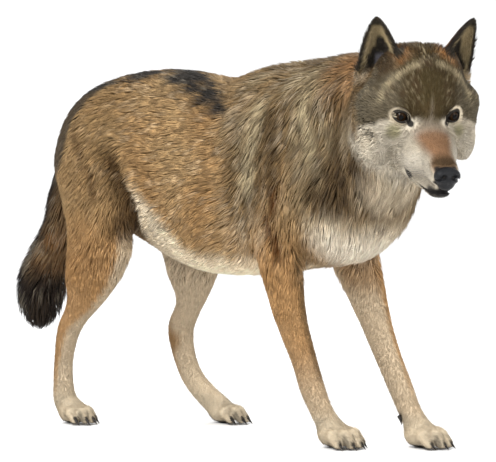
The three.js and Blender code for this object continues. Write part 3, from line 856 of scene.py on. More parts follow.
# %% Skin mesh and its unwrap
def new_piece(name, points, faces, smooth=True):
    """A mesh object at the origin, from points in millimetres of the drawing."""
    mesh = bpy.data.meshes.new(name)
    mesh.from_pydata(((points + SHIFT) / 1000).tolist(), [], faces)
    mesh.validate()
    mesh.shade_smooth() if smooth else mesh.shade_flat()
    piece = bpy.data.objects.new(name, mesh)
    bpy.context.scene.collection.objects.link(piece)
    return piece


def only_select(piece):
    """The piece selected and active, and nothing else."""
    for other in bpy.context.view_layer.objects:
        other.select_set(other is piece)
    bpy.context.view_layer.objects.active = piece


UNWRAP_ANGLE = math.radians(66)
UNWRAP_MARGIN = 0.001
skin = new_piece("skin", skin_points, skin_quads.tolist() + skin_triangles.tolist())
skin.data.uv_layers.new(name="OFBake")
only_select(skin)
bpy.ops.object.mode_set(mode="EDIT")
bpy.ops.mesh.select_all(action="SELECT")
bpy.ops.uv.smart_project(angle_limit=UNWRAP_ANGLE, island_margin=UNWRAP_MARGIN)
bpy.ops.object.mode_set(mode="OBJECT")
print("skin mesh:", len(skin.data.polygons), "faces")

# %% Skin as triangles, with normals and places on the unwrap
corner_map = np.zeros(len(skin.data.loops) * 2)
skin.data.uv_layers["OFBake"].data.foreach_get("uv", corner_map)
corner_map = corner_map.reshape(-1, 2)
loop_start = np.zeros(len(skin.data.polygons), int)
skin.data.polygons.foreach_get("loop_start", loop_start)
loop_total = np.zeros(len(skin.data.polygons), int)
skin.data.polygons.foreach_get("loop_total", loop_total)
loop_point = np.zeros(len(skin.data.loops), int)
skin.data.loops.foreach_get("vertex_index", loop_point)
four = loop_start[loop_total == 4]
every = loop_start[loop_total >= 3]
tri_loops = np.vstack([every[:, None] + [0, 1, 2], four[:, None] + [0, 2, 3]])
tris = loop_point[tri_loops]
edge_a = skin_points[tris[:, 1]] - skin_points[tris[:, 0]]
edge_b = skin_points[tris[:, 2]] - skin_points[tris[:, 0]]
tri_cross = np.cross(edge_a, edge_b)
tri_area = np.linalg.norm(tri_cross, axis=1) / 2
skin_normals = np.zeros_like(skin_points)
for k in range(3):
    np.add.at(skin_normals, tris[:, k], tri_cross)
skin_normals = unit(skin_normals)
print("skin area", round(tri_area.sum() / 1e6, 3), "square metres")

# %% [markdown]
# ## The lie of the coat
# Fur grows away from the nose: back over the head and neck, down the shoulder and legs, along the tail. Each
# mass states its own direction, the shares melt them together, and the part that points out of the hide is
# taken off, which leaves the lie along the surface.

# %% Directions of growth
def growth(p, n, share, ear_share):
    """The way that fur lies at each point of the hide."""
    q = to_head(p)
    low = ramp(560 - p[:, 2], 0, 200)
    shoulder = ramp(p[:, 0], -40, 60)
    sideways = 1 - np.clip(n[:, 2], 0, 1) ** 1.5
    one = np.ones(len(p))

    def to(x, y, z):
        return np.stack([x * one, y * one, z * one], -1)

    trunk = to(-1 + 0.65 * shoulder * sideways, 0, -0.12 - 0.35 * low - 0.75 * shoulder * sideways)
    lie = share["trunk"][:, None] * trunk
    neck = to(-0.9 + 0.62 * sideways, 0.25 - 0.15 * sideways, -0.08 - 0.95 * sideways)
    lie += share["neck"][:, None] * neck
    lie += share["throat"][:, None] * to(-0.3, 0.1, -0.95)
    back = ramp(-q[:, 0], 0, 70)
    under = ramp(-q[:, 2], -10, 60)
    out = np.sign(q[:, 1] + 1e-6) * ramp(np.abs(q[:, 1]), 0, 14)
    brow = along([0, 28, 52], [-50, -40, -12], np.abs(q[:, 1]))
    parting = along([0, 44, 74], [22, 30, 70], np.abs(q[:, 1]))
    up = ramp(q[:, 2] - brow, 0, parting) * ramp(44 - q[:, 0], 0, 26)
    wide = ramp(np.abs(q[:, 1]), 34, 60)
    apart = out * (0.12 + 0.5 * back + 0.3 * wide)
    rise = 0.75 * up - 0.12 - (0.3 + 0.45 * back) * under * wide
    head = to(-1, apart, rise)
    for side in (-1, 1):
        away = q - sided(EYE_AT + [12, -9, -3], side)
        near = ramp(36 - np.linalg.norm(away, axis=1), 0, 18)
        head = head + 1.8 * near[:, None] * unit(away)
    lie += share["head"][:, None] * (head @ HEAD_AXES.T)
    tail_slope = along([192, 275, 390, 500, 590], [0.05, 0.35, 0.4, 0.45, 0.8], p[:, 2])
    lie += share["tail"][:, None] * to(-tail_slope, 0, -1)
    for name, leg in LEGS.items():
        upper = ramp(p[:, 2], 250, 420)
        foot = ramp(46 - p[:, 2], 0, 26)
        lean = -0.5 if "hind" in name else -0.3
        direction = to(lean * upper - 0.05 + 1.3 * foot, leg["side"] * 0.12 * foot, -1 + 0.55 * foot)
        lie += share[name][:, None] * direction
    for side, amount in ear_share.items():
        _, axis, _, across = ear_frame(side)
        _, _, part, ahead = ear_place(q, side)
        inward = -np.sign(part) * ramp(np.abs(part), 0.3, 0.8) * ramp(ahead, -0.8, 0.8)
        way = axis + 0.55 * across * inward[:, None]
        lie = lie * (1 - amount[:, None]) + (way @ HEAD_AXES.T) * amount[:, None]
    lie = lie - n * (lie * n).sum(1)[:, None]
    return unit(lie)


def ear_shares(p):
    """How far each point belongs to the right and to the left ear."""
    q = to_head(p)
    found = {}
    for side in (-1, 1):
        z, over, _, ahead = ear_place(q, side)
        found[side] = ramp(z, 2, 22) * ramp(12 - over, 0, 8) * ramp(14 - np.abs(ahead), 0, 6)
    return found


skin_masses = masses(skin_points)
skin_share = shares(skin_masses, skin_points)
skin_ear = ear_shares(skin_points)
either_ear = np.maximum(skin_ear[-1], skin_ear[1])
head_place = to_head(skin_points)
head_mirrored = mirrored(head_place)
head_x, head_out, head_z = head_mirrored.T
ear_fringe = np.zeros(len(skin_points))
for side, amount in skin_ear.items():
    height, _, part, ahead = ear_place(head_place, side)
    inside = ramp(ahead, -0.8, 0.8) * ramp(np.abs(part), 0.35, 0.75) * ramp(100 - height, 0, 20)
    ear_fringe = np.maximum(ear_fringe, amount * inside)
skin_depth = coat_depth(skin_points, skin_share)
crown = ramp(-head_x, 40, 60) * ramp(head_z, 60, 80) * ramp(70 - head_out, 0, 20)
jowl = ramp(-head_x, 0, 40) * ramp(head_out, 60, 90)
skin_depth += skin_share["head"] * (8 * crown + 3 * jowl)
skin_depth = skin_depth * (1 - either_ear) + (2.4 + 3.2 * ear_fringe) * either_ear
skin_depth *= 1 - 0.2 * skin_share["neck"] * ramp(skin_normals[:, 2], 0.3, 0.8)
cheek = near_place(head_mirrored, [-25, 98, -40], [46, 34, 44], 1.2, 0.5)
skin_depth *= 1 - 0.45 * cheek
skin_lie = growth(skin_points, skin_normals, skin_share, skin_ear)
print("coat depth from", skin_depth.min().round(1), "to", skin_depth.max().round(1), "mm")

# %% Length and width of a tuft
leg_share = sum(skin_share[name] for name in LEGS)
on_head = skin_share["head"] * (1 - either_ear)
face = ramp(head_x, -66, 10)
muzzle = ramp(head_x, 18, 50)
lower_leg = ramp(330 - skin_points[:, 2], 0, 110)
on_paw = ramp(60 - skin_points[:, 2], 0, 22)
tuft_length = skin_share["trunk"] * (40 + 8 * ramp(skin_points[:, 0], -40, 100))
tuft_length += (skin_share["neck"] + skin_share["throat"]) * 58
tuft_length += skin_share["tail"] * 60
tuft_length += leg_share * (34 - 22 * lower_leg - 4 * on_paw)
tuft_length += skin_share["head"] * (34 - 20 * face - 6 * muzzle)
ear_foot = near_place(head_mirrored, [-74, 74, 54], [60, 52, 44], 1.2, 0.5)
tuft_length *= (1 - 0.6 * ear_foot) * (1 - 0.4 * crown)
skin_depth *= 1 - 0.6 * ear_foot * (1 - either_ear)
tuft_length = tuft_length * (1 - either_ear) + (7 + 6 * ear_fringe) * either_ear
tuft_width = skin_share["trunk"] * 2.1 + (skin_share["neck"] + skin_share["throat"]) * 2.6
tuft_width += skin_share["tail"] * 3.0 + leg_share * (2.1 - 0.7 * lower_leg)
tuft_width += skin_share["head"] * (2.3 - 1.1 * face - 0.1 * muzzle)
tuft_width = tuft_width * (1 - either_ear) + 1.3 * either_ear

# %% [markdown]
# ## Places that stay bare
# The lids' rims, the tear pits, the lips, the soles and the hide under the nose leather carry no fur.

# %% Bare places
def nose_zone(q):
    """1 on the hide under the nose leather."""
    return ramp(q[:, 0], 108, 111) * ramp(21 - np.abs(q[:, 1]), 0, 3) * ramp(-47 - q[:, 2], 0, 4)


TEAR_PIT = [[11, 33, -8], [12, 6, 6]]
bare = near_place(head_mirrored, *TEAR_PIT, 0.9, 0.3)
rim_dark = near_place(head_mirrored, *TEAR_PIT, 1.2, 0.4)
for side in (-1, 1):
    gaze, across, up = eye_axes(side)
    from_eye = head_place - sided(EYE_AT, side)
    almond = np.hypot(from_eye @ across / 16.5, (from_eye @ up - 0.6) / 11)
    within = np.linalg.norm(from_eye, axis=1)
    close = ramp(34 - within, 0, 6) * ramp(from_eye @ gaze, -8, -4)
    bare = np.maximum(bare, close * ramp(1.18 - almond, 0, 0.12))
    rim_dark = np.maximum(rim_dark, close * ramp(1.1 - almond, 0, 0.12))
    bare = np.maximum(bare, ramp(EYE_RADIUS + 1.4 - within, 0, 0.8))
from_lips, lips_shown = lip_place(head_place)
lip_front = ramp(head_x, 40, 60)
lip_corner = ramp(20 - head_x, 0, 8)
lip_width = 1.2 + 2.8 * lip_front + 2.2 * lip_corner
lips_dark = lips_shown * on_head * ramp(lip_width + 1 - from_lips, 0, 1.2) * ramp(head_x, -2, 6)
bare = np.maximum(bare, lips_dark)
mouth_corner = spot(head_mirrored, [15, 33, -96], [12, 16, 13], 0.15)
bare = np.maximum(bare, np.maximum(nose_zone(head_place), mouth_corner))
sole = ramp(-skin_normals[:, 2], 0.6, 0.85) * ramp(SOLE + 9 - skin_points[:, 2], 0, 4)
bare = np.maximum(bare, sole)

# %% [markdown]
# ## Markings
# A grey wolf wears a dark saddle, ochre flanks, a cream belly and throat, a grey mask over pale cheeks,
# black ear rims and a black tail tip. Each is a soft-edged zone told by its place on the body. The coat takes
# its colours from the skin below it. Every fur colour is named once, as a painter would lay out a palette.

# %% The palette
def paint(red, green, blue):
    """A screen colour turned to the linear numbers that a shader wants."""
    c = np.array([red, green, blue]) / 255
    return np.where(c <= 0.04045, c / 12.92, ((c + 0.055) / 1.055) ** 2.4)


TAN = paint(177, 146, 103)
OCHRE = paint(164, 124, 77)
GREY_BROWN = paint(132, 114, 86)
UMBER = paint(80, 63, 42)
CHARCOAL = paint(52, 51, 50)
CREAM = paint(234, 218, 190)
STRAW = paint(186, 170, 136)
WHITE = paint(226, 216, 198)
GINGER = paint(150, 106, 64)
RUFOUS = paint(148, 112, 84)
OLIVE = paint(68, 54, 30)
LEG_TAN = paint(188, 150, 106)
PALE_LEG = paint(214, 196, 168)
SLATE = paint(90, 79, 58)
BLACK = paint(24, 22, 22)
RUST = paint(112, 68, 28)
SMUDGE = paint(132, 126, 92)
EAR_HAIR = paint(146, 130, 98)
EAR_HIDE = paint(122, 120, 128)


def laid(colour, over, amount):
    """Colour laid over another by an amount from 0 to 1."""
    share_of = np.clip(np.broadcast_to(amount, len(colour)), 0, 1)
    return colour + (np.asarray(over) - colour) * share_of[:, None]


# %% Waves of colour
WAVES = np.random.default_rng(11)


def waves(p, size, count=14, stretch=(1, 1, 1)):
    """Smooth noise between -1 and 1, as a sum of sines in set directions."""
    total = np.zeros(len(p))
    for _ in range(count):
        direction = WAVES.normal(size=3)
        direction *= np.array(stretch) / np.linalg.norm(direction)
        phase = WAVES.uniform(0, 2 * math.pi)
        pace = 2 * math.pi / size * WAVES.uniform(0.6, 1.6)
        total += np.sin((p @ direction) * pace + phase)
    return np.clip(total / math.sqrt(count), -1.6, 1.6) / 1.6


# %% Markings of the body
# Half the saddle's width at places along the body, the belly's upper edge at others, and how far back the
# dark edge of the croup stands at heights.
SADDLE_HALF = [
    [-600, -540, -436, -362, -295, -207, -159, -110, -64, -20],
    [50, 68, 72, 60, 56, 66, 78, 90, 100, 108],
]
BELLY_EDGE = [
    [-290, -260, -230, -212, -178, -153, -123, -41, 74, 200],
    [520, 470, 446, 436, 402, 372, 352, 348, 346, 330],
]
CROUP_EDGE = [
    [480, 505, 529, 560, 590, 615, 637, 657, 680],
    [-484, -474, -461, -450, -443, -431, -415, -400, -380],
]


def ground_colour(p):
    """Tan and ochre, with a grizzled upper flank and a browner haunch."""
    x, _, z = p.T
    broad = waves(p, 120)
    colour = laid(np.tile(TAN, (len(p), 1)), OCHRE, 0.3 + 0.4 * broad)
    colour = laid(colour, GREY_BROWN, 0.45 * ramp(z + 18 * broad, 590, 670) * ramp(x, -330, -180))
    haunch = ramp(-x, 250, 330) * (1 - 0.3 * ramp(-x, 380, 430))
    return laid(colour, GREY_BROWN * [1.05, 0.95, 0.8], 0.55 * haunch * ramp(z, 380, 450))


def neck_colour(colour, p, share, streak, fine, flank):
    """Grey-brown shoulders and neck in long streaks of cream and dark."""
    x, _, z = p.T
    neck = np.clip(share["neck"] + share["throat"] + share["head"] + share["trunk"] * ramp(x, -60, 40), 0, 1)
    neck *= ramp(z, 330, 460)
    colour = laid(colour, GREY_BROWN * [0.8, 0.75, 0.66], 0.85 * neck)
    colour = laid(colour, STRAW, neck * 0.45 * ramp(streak, 0.06, 0.55))
    colour = laid(colour, UMBER * 0.85, neck * 0.6 * ramp(-streak, 0.1, 0.6))
    colour = laid(colour, CREAM, neck * 0.3 * ramp(fine, 0.2, 0.7))
    colour = laid(colour, UMBER * 0.7, neck * 0.45 * ramp(-fine, 0.15, 0.6))
    colour = laid(colour, STRAW, 0.8 * flank * line_mark(p, [470, 505, 561, 617], [48, 53, 63, 70], 16, 12))
    colour = laid(colour, UMBER, 0.65 * flank * line_mark(p, [440, 520, 600], [118, 114, 106], 13, 13))
    colour = laid(colour, STRAW, 0.8 * flank * line_mark(p, [480, 530, 620], [222, 208, 192], 15, 12))
    around_ears = spot(p, [304, -120, 672], [62, 100, 66], 0.5) * (0.7 + 0.5 * streak)
    return laid(colour, GINGER * 0.85, 0.8 * around_ears * (1 - 0.9 * share["head"]))


def chest_colour(colour, p, streak, fine):
    """Painted shadow under the ruff, with dark and grey-brown hair in it, then the cream chest below it."""
    x, _, z = p.T
    # The dark patch is painted shadow cast by the ruff, streaked with dark and grey-brown hair.
    patch = spot(p, [276, -128, 468], [80, 60, 64], 0.35)
    colour = laid(colour, UMBER * 1.6, 0.8 * patch)
    colour = laid(colour, UMBER * 0.5, 0.8 * patch * ramp(-fine, 0.1, 0.6))
    colour = laid(colour, GREY_BROWN, 0.5 * patch * ramp(fine, 0.1, 0.6))
    # The deepest part of the painted shadow under the ruff.
    deepest_ruff_shadow = spot(p, [240, -128, 452], [24, 40, 34], 0.6)
    colour = laid(colour, UMBER * 0.4, 0.7 * deepest_ruff_shadow * ramp(fine, -0.2, 0.2))
    colour = laid(colour, GINGER, 0.7 * spot(p, [338, -128, 462], [26, 44, 28], 0.6))
    chest_top = along([140, 260, 310, 345, 380], [418, 416, 430, 480, 550], x)
    chest = ramp(x, 140, 215) * ramp(chest_top - z + 14 * streak, -20, 46) * (1 - 0.5 * patch)
    chest = np.maximum(chest, spot(p, [385, -66, 470], [84, 70, 56], 0.4))
    colour = laid(colour, CREAM * 0.92, 0.95 * chest)
    colour = laid(colour, GREY_BROWN, 0.2 * chest * ramp(streak, 0.1, 0.6) + 0.3 * chest * ramp(x, 280, 340))
    # The lower chest is painted brighter than its cream: painted light against the shade underneath.
    return laid(colour, WHITE * 1.25, 0.85 * chest * ramp(425 - z, 0, 60))


def belly_colour(colour, p, share, flank):
    """Cream belly and groin, painted brighter than their cream against the shade underneath, and pale hair
    behind the elbow.
    """
    x, _, z = p.T
    edge = along(*BELLY_EDGE, x)
    belly = share["trunk"] * ramp(edge - 8 - z + 8 * waves(p, 50), -20, 22) * ramp(x, -285, -255)
    # Painted light: the belly's cream is brightened against the shade that falls underneath.
    colour = laid(colour, CREAM * 1.24, 0.97 * belly)
    colour = laid(colour, CREAM * 0.95, 0.8 * belly * ramp(-x, 160, 230))
    near_elbow = ramp(x, -40, 20) * ramp(92 - x, 0, 16) * ramp(440 - z, 0, 60)
    pale = near_elbow * flank * (0.35 + 0.5 * waves(p, 22, stretch=(1, 1, 0.5)))
    return laid(colour, CREAM * 0.85, pale)


def saddle_colour(colour, p):
    """A dark stripe over the croup that widens forwards, with its front edge behind the shoulder."""
    x, y, z = p.T
    flat_y = np.abs(y)
    half = along(*SADDLE_HALF, x)
    ragged = 9 * waves(p, 40)
    stripe = ramp(half + ragged - flat_y, -6, 10) * ramp(z, 560, 600)
    front = ramp(-178 + 1.6 * flat_y + ragged - x, -6, 10)
    pale = ramp(waves(p, 34, stretch=(0.4, 1, 1)), 0.15, 0.6)
    heavy = 1 - 0.75 * pale * (1 - ramp(x, -130, -60) * ramp(flat_y, 60, 90))
    colour = laid(colour, CHARCOAL * 0.85, 0.97 * stripe * front * heavy)
    croup = ramp(along(*CROUP_EDGE, z) - x, -3, 5) * ramp(z, 480, 520)
    return laid(colour, CHARCOAL, 0.8 * croup)


def body_colour(p, share):
    """Trunk, neck and chest, one marking over another."""
    flank = ramp(np.abs(p[:, 1]), 70, 105)
    colour = ground_colour(p)
    streak = waves(p, 58, stretch=(1, 1, 0.2))
    fine = waves(p, 26, stretch=(1, 1, 0.25))
    colour = neck_colour(colour, p, share, streak, fine, flank)
    colour = chest_colour(colour, p, streak, fine)
    colour = belly_colour(colour, p, share, flank)
    return saddle_colour(colour, p)


# %% Markings of the legs and tail
def toe_shade_and_pads(p, leg):
    """1 for painted shade in the gaps between the toes and under them, and for black round the claws' roots
    and a foreleg's carpal pad.
    """
    place = paw_frame(p, leg)
    forward, across, up = place.T
    spread = leg["kind"]["spread"]
    gaps = np.zeros(len(p))
    for first, second in zip(spread[:-1], spread[1:]):
        centre = (first + second) / 2 * ramp(forward, -40, 30)
        gaps = np.maximum(gaps, ramp(3.2 - np.abs(across - centre), 0, 2.0))
    gaps *= 0.65 * ramp(forward, 6, 20) * ramp(34 - up, 0, 12)
    # Painted shade under the toes and the palm.
    under = ramp(8 - up, 0, 5) * ramp(forward, -34, -24)
    under = np.maximum(under, 0.9 * spot(place, [-34, 0, 12], [11, 16, 9], 0.4))
    if leg["kind"] is FORE_PAW:
        under = np.maximum(under, 0.9 * spot(place, [-52, -16 * leg["side"], 52], [9, 9, 9], 0.3))
    for side, reach in zip(spread, leg["kind"]["reach"]):
        under = np.maximum(under, near_place(place, [reach + 8, side * 1.1, 12], [6, 4, 4], 1.4, 0.6))
    return np.maximum(gaps, under)


def painted_fold_shade(colour, p):
    """Painted shade where the flank overlaps the thigh, and along the creases of the haunch and the elbow."""
    outward = ramp(np.abs(p[:, 1]), 50, 72)
    # Painted shadow on the thigh just behind the overlapping flank.
    colour = laid(colour, UMBER * [1.0, 0.85, 0.66], 0.92 * flank_shade(p, 64) * outward)
    # Painted shade along the haunch crease.
    crease_shade = line_mark(p, *HAUNCH_FOLD, 9, 8)
    colour = laid(colour, UMBER * [1.0, 0.75, 0.6], 0.85 * crease_shade * outward)
    # Painted shade along the elbow crease, in a dark rust.
    crease_shade = line_mark(p, *ELBOW_FOLD, 9, 6, 20) * outward
    return laid(colour, RUST * 0.6, 0.97 * crease_shade)


def tail_colour(colour, p, tail, patchy):
    """Brown in front, black behind and at the tip."""
    x, _, z = p.T
    base = np.tile(GREY_BROWN * 0.6, (len(p), 1))
    base = laid(base, GINGER * 0.7, 0.4 + 0.5 * patchy)
    middle = along([192, 275, 390, 500, 590], [-665, -655, -596, -558, -512], z)
    base = laid(base, BLACK, 0.9 * ramp(middle - x, -6, 18))
    base = laid(base, BLACK, 0.93 * ramp(322 - z + 22 * patchy, 0, 50))
    return laid(colour, base, tail * ramp(620 - z, 0, 60))


def limb_colour(colour, p, n, share):
    """Legs, painted shade in the folds, and tail, laid over the body's colours."""
    z = p[:, 2]
    patchy = waves(p, 60)
    for name, leg in LEGS.items():
        own = share[name] * ramp(440 - z, 0, 120)
        inner = ramp(-n[:, 1] * leg["side"], -0.25, 0.45)
        base = np.tile(LEG_TAN, (len(p), 1))
        base = laid(base, OCHRE, 0.3 + 0.3 * patchy)
        if "fore" in name:
            base = laid(base, OCHRE, 0.5 * ramp(z, 180, 280))
            pale = np.maximum(inner * (1 - 0.8 * (leg["side"] < 0)), ramp(190 - z, 0, 150))
            base = laid(base, PALE_LEG * 0.87, 0.8 * pale)
            front = ramp(n[:, 0] + 0.6 * n[:, 1], 0.55, 1.0) * (leg["side"] < 0)
            base = laid(base, UMBER * [1.3, 1.2, 1.0], 0.6 * front * ramp(z, 90, 130) * ramp(420 - z, 0, 60))
            base = laid(base, OCHRE, 0.75 * ramp(z, 255, 310) * ramp(n[:, 0], -0.9, 0.1) * (leg["side"] > 0))
        else:
            base = laid(base, OCHRE * 0.86, 0.6 * ramp(z, 200, 300))
            facing = along([60, 180, 260, 400], [-0.1, 0.2, 0.5, 0.7], z)
            front_edge = ramp(n[:, 0] - facing, 0, 0.28)
            base = laid(base, PALE_LEG * 0.9, 0.85 * np.maximum(inner, front_edge))
            base = laid(base, PALE_LEG * 0.95, 0.75 * ramp(140 - z, 0, 110))
            rear = ramp(-n[:, 0], 0.0, 0.55)
            base = laid(base, OCHRE * 0.9, 0.7 * rear * ramp(z, 40, 120) * ramp(230 - z, 0, 60))
        colour = laid(colour, base, own)
        colour = laid(colour, CREAM * 0.77, share[name] * 0.8 * ramp(60 - z, 0, 30))
        # Painted shade darkens the gaps between the toes and the hair under them, and the claws' roots and
        # carpal pads are black.
        colour = laid(colour, BLACK, share[name] * 0.9 * toe_shade_and_pads(p, leg))
    colour = laid(colour, OCHRE * 0.75, 0.85 * spot(p, [-348, 88, 152], [22, 26, 24], 0.5))
    return tail_colour(painted_fold_shade(colour, p), p, share["tail"], patchy)


# %% Markings of the head
def ear_colour(colour, q, ear):
    """Ginger behind, pale in the cup with painted shade down its dark hollow, black along the rim."""
    hollow_noise = waves(q, 14)
    for side, amount in ear.items():
        height, over, part, ahead = ear_place(q, side)
        inside = ramp(ahead, -0.8, 0.8)
        shell = np.tile(GINGER * 0.6, (len(q), 1))
        shell = laid(shell, UMBER * 0.7, 0.6 * ramp(height, 30, 80))
        cup = np.tile(EAR_HAIR, (len(q), 1))
        hollow_half = along([0, 30, 58, 84], [0.95, 0.85, 0.5, 0.12], height)
        # The hollow is painted black, as the shade down the ear canal.
        hollow = ramp(hollow_half - np.abs(part) + 0.12 * hollow_noise, 0, 0.25) * ramp(84 - height, 0, 14)
        cup = laid(cup, BLACK, 0.95 * hollow)
        hide = 0.7 * hollow * ramp(46 - height, 0, 12) * ramp(0.32 - np.abs(part + 0.1), 0, 0.2)
        cup = laid(cup, EAR_HIDE, hide)
        shell = laid(shell, cup, inside)
        rim = np.maximum(ramp(over, -9, -6), ramp(height, 92, 103))
        shell = laid(shell, BLACK, 0.93 * rim * ramp(height, 4, 20))
        colour = laid(colour, shell, amount)
    return colour


def head_colour(colour, p, share, ear):
    """Face, lips and ears, laid over the body's colours."""
    q = to_head(p)
    folded = mirrored(q)
    x, side, z = folded.T
    mottled = waves(q, 22)
    base = np.tile(WHITE * 0.72, (len(p), 1))
    base = laid(base, CREAM * 0.7, 0.4 + 0.3 * waves(q, 40))
    # Slate greys the face here and there. The wolf's left cheek takes more of it, as painted shade on the far
    # side.
    base = laid(base, SLATE, 0.1 + 0.2 * ramp(waves(q, 30), 0.1, 0.7) + 0.14 * ramp(q[:, 1], 40, 60))
    # The grey mask: forehead and temples down to a line from the eye to the ruff.
    edge = along([-110, -40, -4, 10, 26, 120], [-30, -27, -4, -2, 5, 4], x) - 0.16 * np.clip(side - 60, 0, 60)
    mask = ramp(z - edge + 3 * mottled, -5, 7) * ramp(side + 0.8 * (26 - x), 0, 14)
    base = laid(base, SLATE * 0.68, 0.92 * mask)
    forehead = mask * ramp(66 - side, 0, 30) * ramp(z, -6, 14)
    base = laid(base, OLIVE * [0.72, 0.72, 0.66], 0.92 * forehead)
    base = laid(base, UMBER * 0.75, 0.6 * mask * ramp(mottled, 0.1, 0.7) * ramp(z, 18, 44))
    base = laid(base, STRAW, 0.3 * mask * ramp(waves(q, 9), 0.2, 0.8) * ramp(z, 4, 30))
    # The pale arc over the brow, and the dark ginger crown behind it.
    ring = np.hypot(side / 88, (z + 5) / 96)
    arc = ramp(0.055 - np.abs(ring - 0.97), 0, 0.05) * ramp(x, -58, -36) * ramp(z, 4, 30) * ramp(side, 8, 22)
    base = laid(base, STRAW * 0.9, (0.6 + 0.3 * mottled) * arc)
    crown = ramp(ring, 1.02, 1.1) * ramp(z, 40, 64)
    base = laid(base, GINGER * 0.68, 0.9 * crown * ramp(66 - side, 0, 20))
    base = laid(base, UMBER * 0.7, 0.9 * crown * ramp(side, 40, 60))
    base = laid(base, UMBER * 0.8, 0.4 * crown * ramp(waves(q, 24), 0, 0.6))
    # Brow and muzzle bridge.
    top = along([0, 40, 80, 110], [-36, -46, -54, -60], x)
    bridge = ramp(along([10, 40, 70, 92, 104], [42, 38, 30, 27, 36], x) - side, 0, 17) * ramp(z - top, -4, 14)
    between_eyes = 0.8 * bridge * ramp(x, -20, 0) * ramp(36 - x, 0, 22) * ramp(26 - side, 0, 14)
    base = laid(base, OLIVE * [0.95, 1.05, 1.1], between_eyes)
    base = laid(base, RUFOUS * 0.8, 0.92 * bridge * ramp(x, 16, 42))
    base = laid(base, GINGER, 0.35 * bridge * ramp(x, 20, 60))
    base = laid(base, UMBER * 0.7, 0.9 * bridge * ramp(x, 80, 102))
    # Pale rings round the eyes, and an olive smudge below them.
    from_eye = np.linalg.norm((folded - EYE_AT) / [1, 1.15, 1], axis=1)
    pale = ramp(22.5 - from_eye, 0, 5) * ramp(side, 18, 28)
    base = laid(base, CREAM * 0.8, 0.8 * pale)
    base = laid(base, SMUDGE, 0.8 * spot(folded, [7, 61, -24], [13, 13, 13], 0.5))
    base = laid(base, WHITE * 0.85, 0.85 * spot(folded, [62, 34, -70], [56, 20, 26], 0.4) * (1 - bridge))
    whisker_bed = 0.3 * spot(folded, [94, 28, -82], [18, 12, 12], 0.5)
    base = laid(base, SLATE, whisker_bed * ramp(waves(q, 7), 0, 0.4))
    # Black mouth corner and chin.
    chin = ramp(x, 80, 92) * ramp(-88 - z, 0, 5)
    base = laid(base, BLACK * 1.5, 0.92 * chin)
    dark = np.maximum(np.maximum(nose_zone(q), mouth_corner), np.maximum(rim_dark, lips_dark))
    base = laid(base, BLACK, 0.97 * dark)
    # The white of the cheek ends at the ruff, and runs on under the jaw.
    low = ramp(-18 - z, 0, 20)
    back = along([-20, 20, 45, 62], [-60, -72, -84, -100], z)
    head = ramp(share["head"], 0.2, 0.6) * (ramp(x - back, -12, 8) * (1 - low) + low * ramp(x, -58, -40))
    jowl = along([0, 22, 39, 55, 72, 89], [-160, -147, -137, -127, -110, -90], side)
    under = ramp(z - jowl, -8, 4) * ramp(x, -104, -84) * ramp(-50 - z, 0, 20)
    return ear_colour(laid(colour, base, np.maximum(head, under)), q, ear)


skin_colour = body_colour(skin_points, skin_share)
skin_colour = limb_colour(skin_colour, skin_points, skin_normals, skin_share)
skin_colour = head_colour(skin_colour, skin_points, skin_share, skin_ear)
skin_colour = laid(skin_colour, BLACK * 1.3, 0.9 * sole)
print("colours laid on", len(skin_colour), "points")

# %% [markdown]
# ## Finishes
# Skin and coat share one fur finish. Its colour comes from an attribute that each point carries, and a fine
# noise breaks it up. Fur is rough, with a weak soft gleam. The skin adds a bump like short lying hair.

# %% The fur finish
def join(tree, *links):
    """Links between nodes, each told as a node, its output, the next node and its input."""
    for source, output, target, entry in links:
        tree.links.new(source.outputs[output], target.inputs[entry])


def new_finish(name, roughness):
    """A material with its node tree and its main shader."""
    finish = bpy.data.materials.new(name)
    finish.use_nodes = True
    shader = finish.node_tree.nodes["Principled BSDF"]
    shader.inputs["Roughness"].default_value = roughness
    return finish, finish.node_tree, shader


def noise_at(tree, scale, detail=3.0):
    """Noise on the piece's own place in space."""
    place = tree.nodes.new("ShaderNodeTexCoord")
    noise = tree.nodes.new("ShaderNodeTexNoise")
    noise.inputs["Scale"].default_value = scale
    noise.inputs["Detail"].default_value = detail
    join(tree, (place, "Object", noise, "Vector"))
    return noise


def spread(tree, source, low, high):
    """A factor from 0 to 1 turned to a range."""
    node = tree.nodes.new("ShaderNodeMapRange")
    node.inputs["To Min"].default_value = low
    node.inputs["To Max"].default_value = high
    tree.links.new(source, node.inputs["Value"])
    return node.outputs["Result"]


def add_bump(tree, shader, height, strength, distance):
    """Small relief from a height, over a distance in metres."""
    bump = tree.nodes.new("ShaderNodeBump")
    bump.inputs["Strength"].default_value = strength
    bump.inputs["Distance"].default_value = distance
    tree.links.new(height, bump.inputs["Height"])
    join(tree, (bump, "Normal", shader, "Normal"))


def fur_finish(name, shade, bump):
    """Fur in its carried colour, at a level of shade."""
    finish, tree, shader = new_finish(name, 0.72)
    shader.inputs["Specular IOR Level"].default_value = 0.1
    colour = tree.nodes.new("ShaderNodeAttribute")
    colour.attribute_name = "coat_colour"
    fleck = noise_at(tree, 420)
    level = spread(tree, fleck.outputs["Fac"], shade - 0.16, shade + 0.16)
    mixed = tree.nodes.new("ShaderNodeVectorMath")
    mixed.operation = "SCALE"
    join(tree, (colour, "Color", mixed, 0), (mixed, "Vector", shader, "Base Color"))
    tree.links.new(level, mixed.inputs["Scale"])
    tree.links.new(spread(tree, fleck.outputs["Fac"], 0.6, 0.85), shader.inputs["Roughness"])
    if bump:
        add_bump(tree, shader, noise_at(tree, 900).outputs["Fac"], 0.5, 0.002)
    return finish


# The hide takes a tenth darker copy of the fur finish: painted shade under the coat.
shaded_hide_finish = fur_finish("hide in painted shade under the fur", 0.9, True)
tuft_finish = fur_finish("fur tufts", 1.0, False)


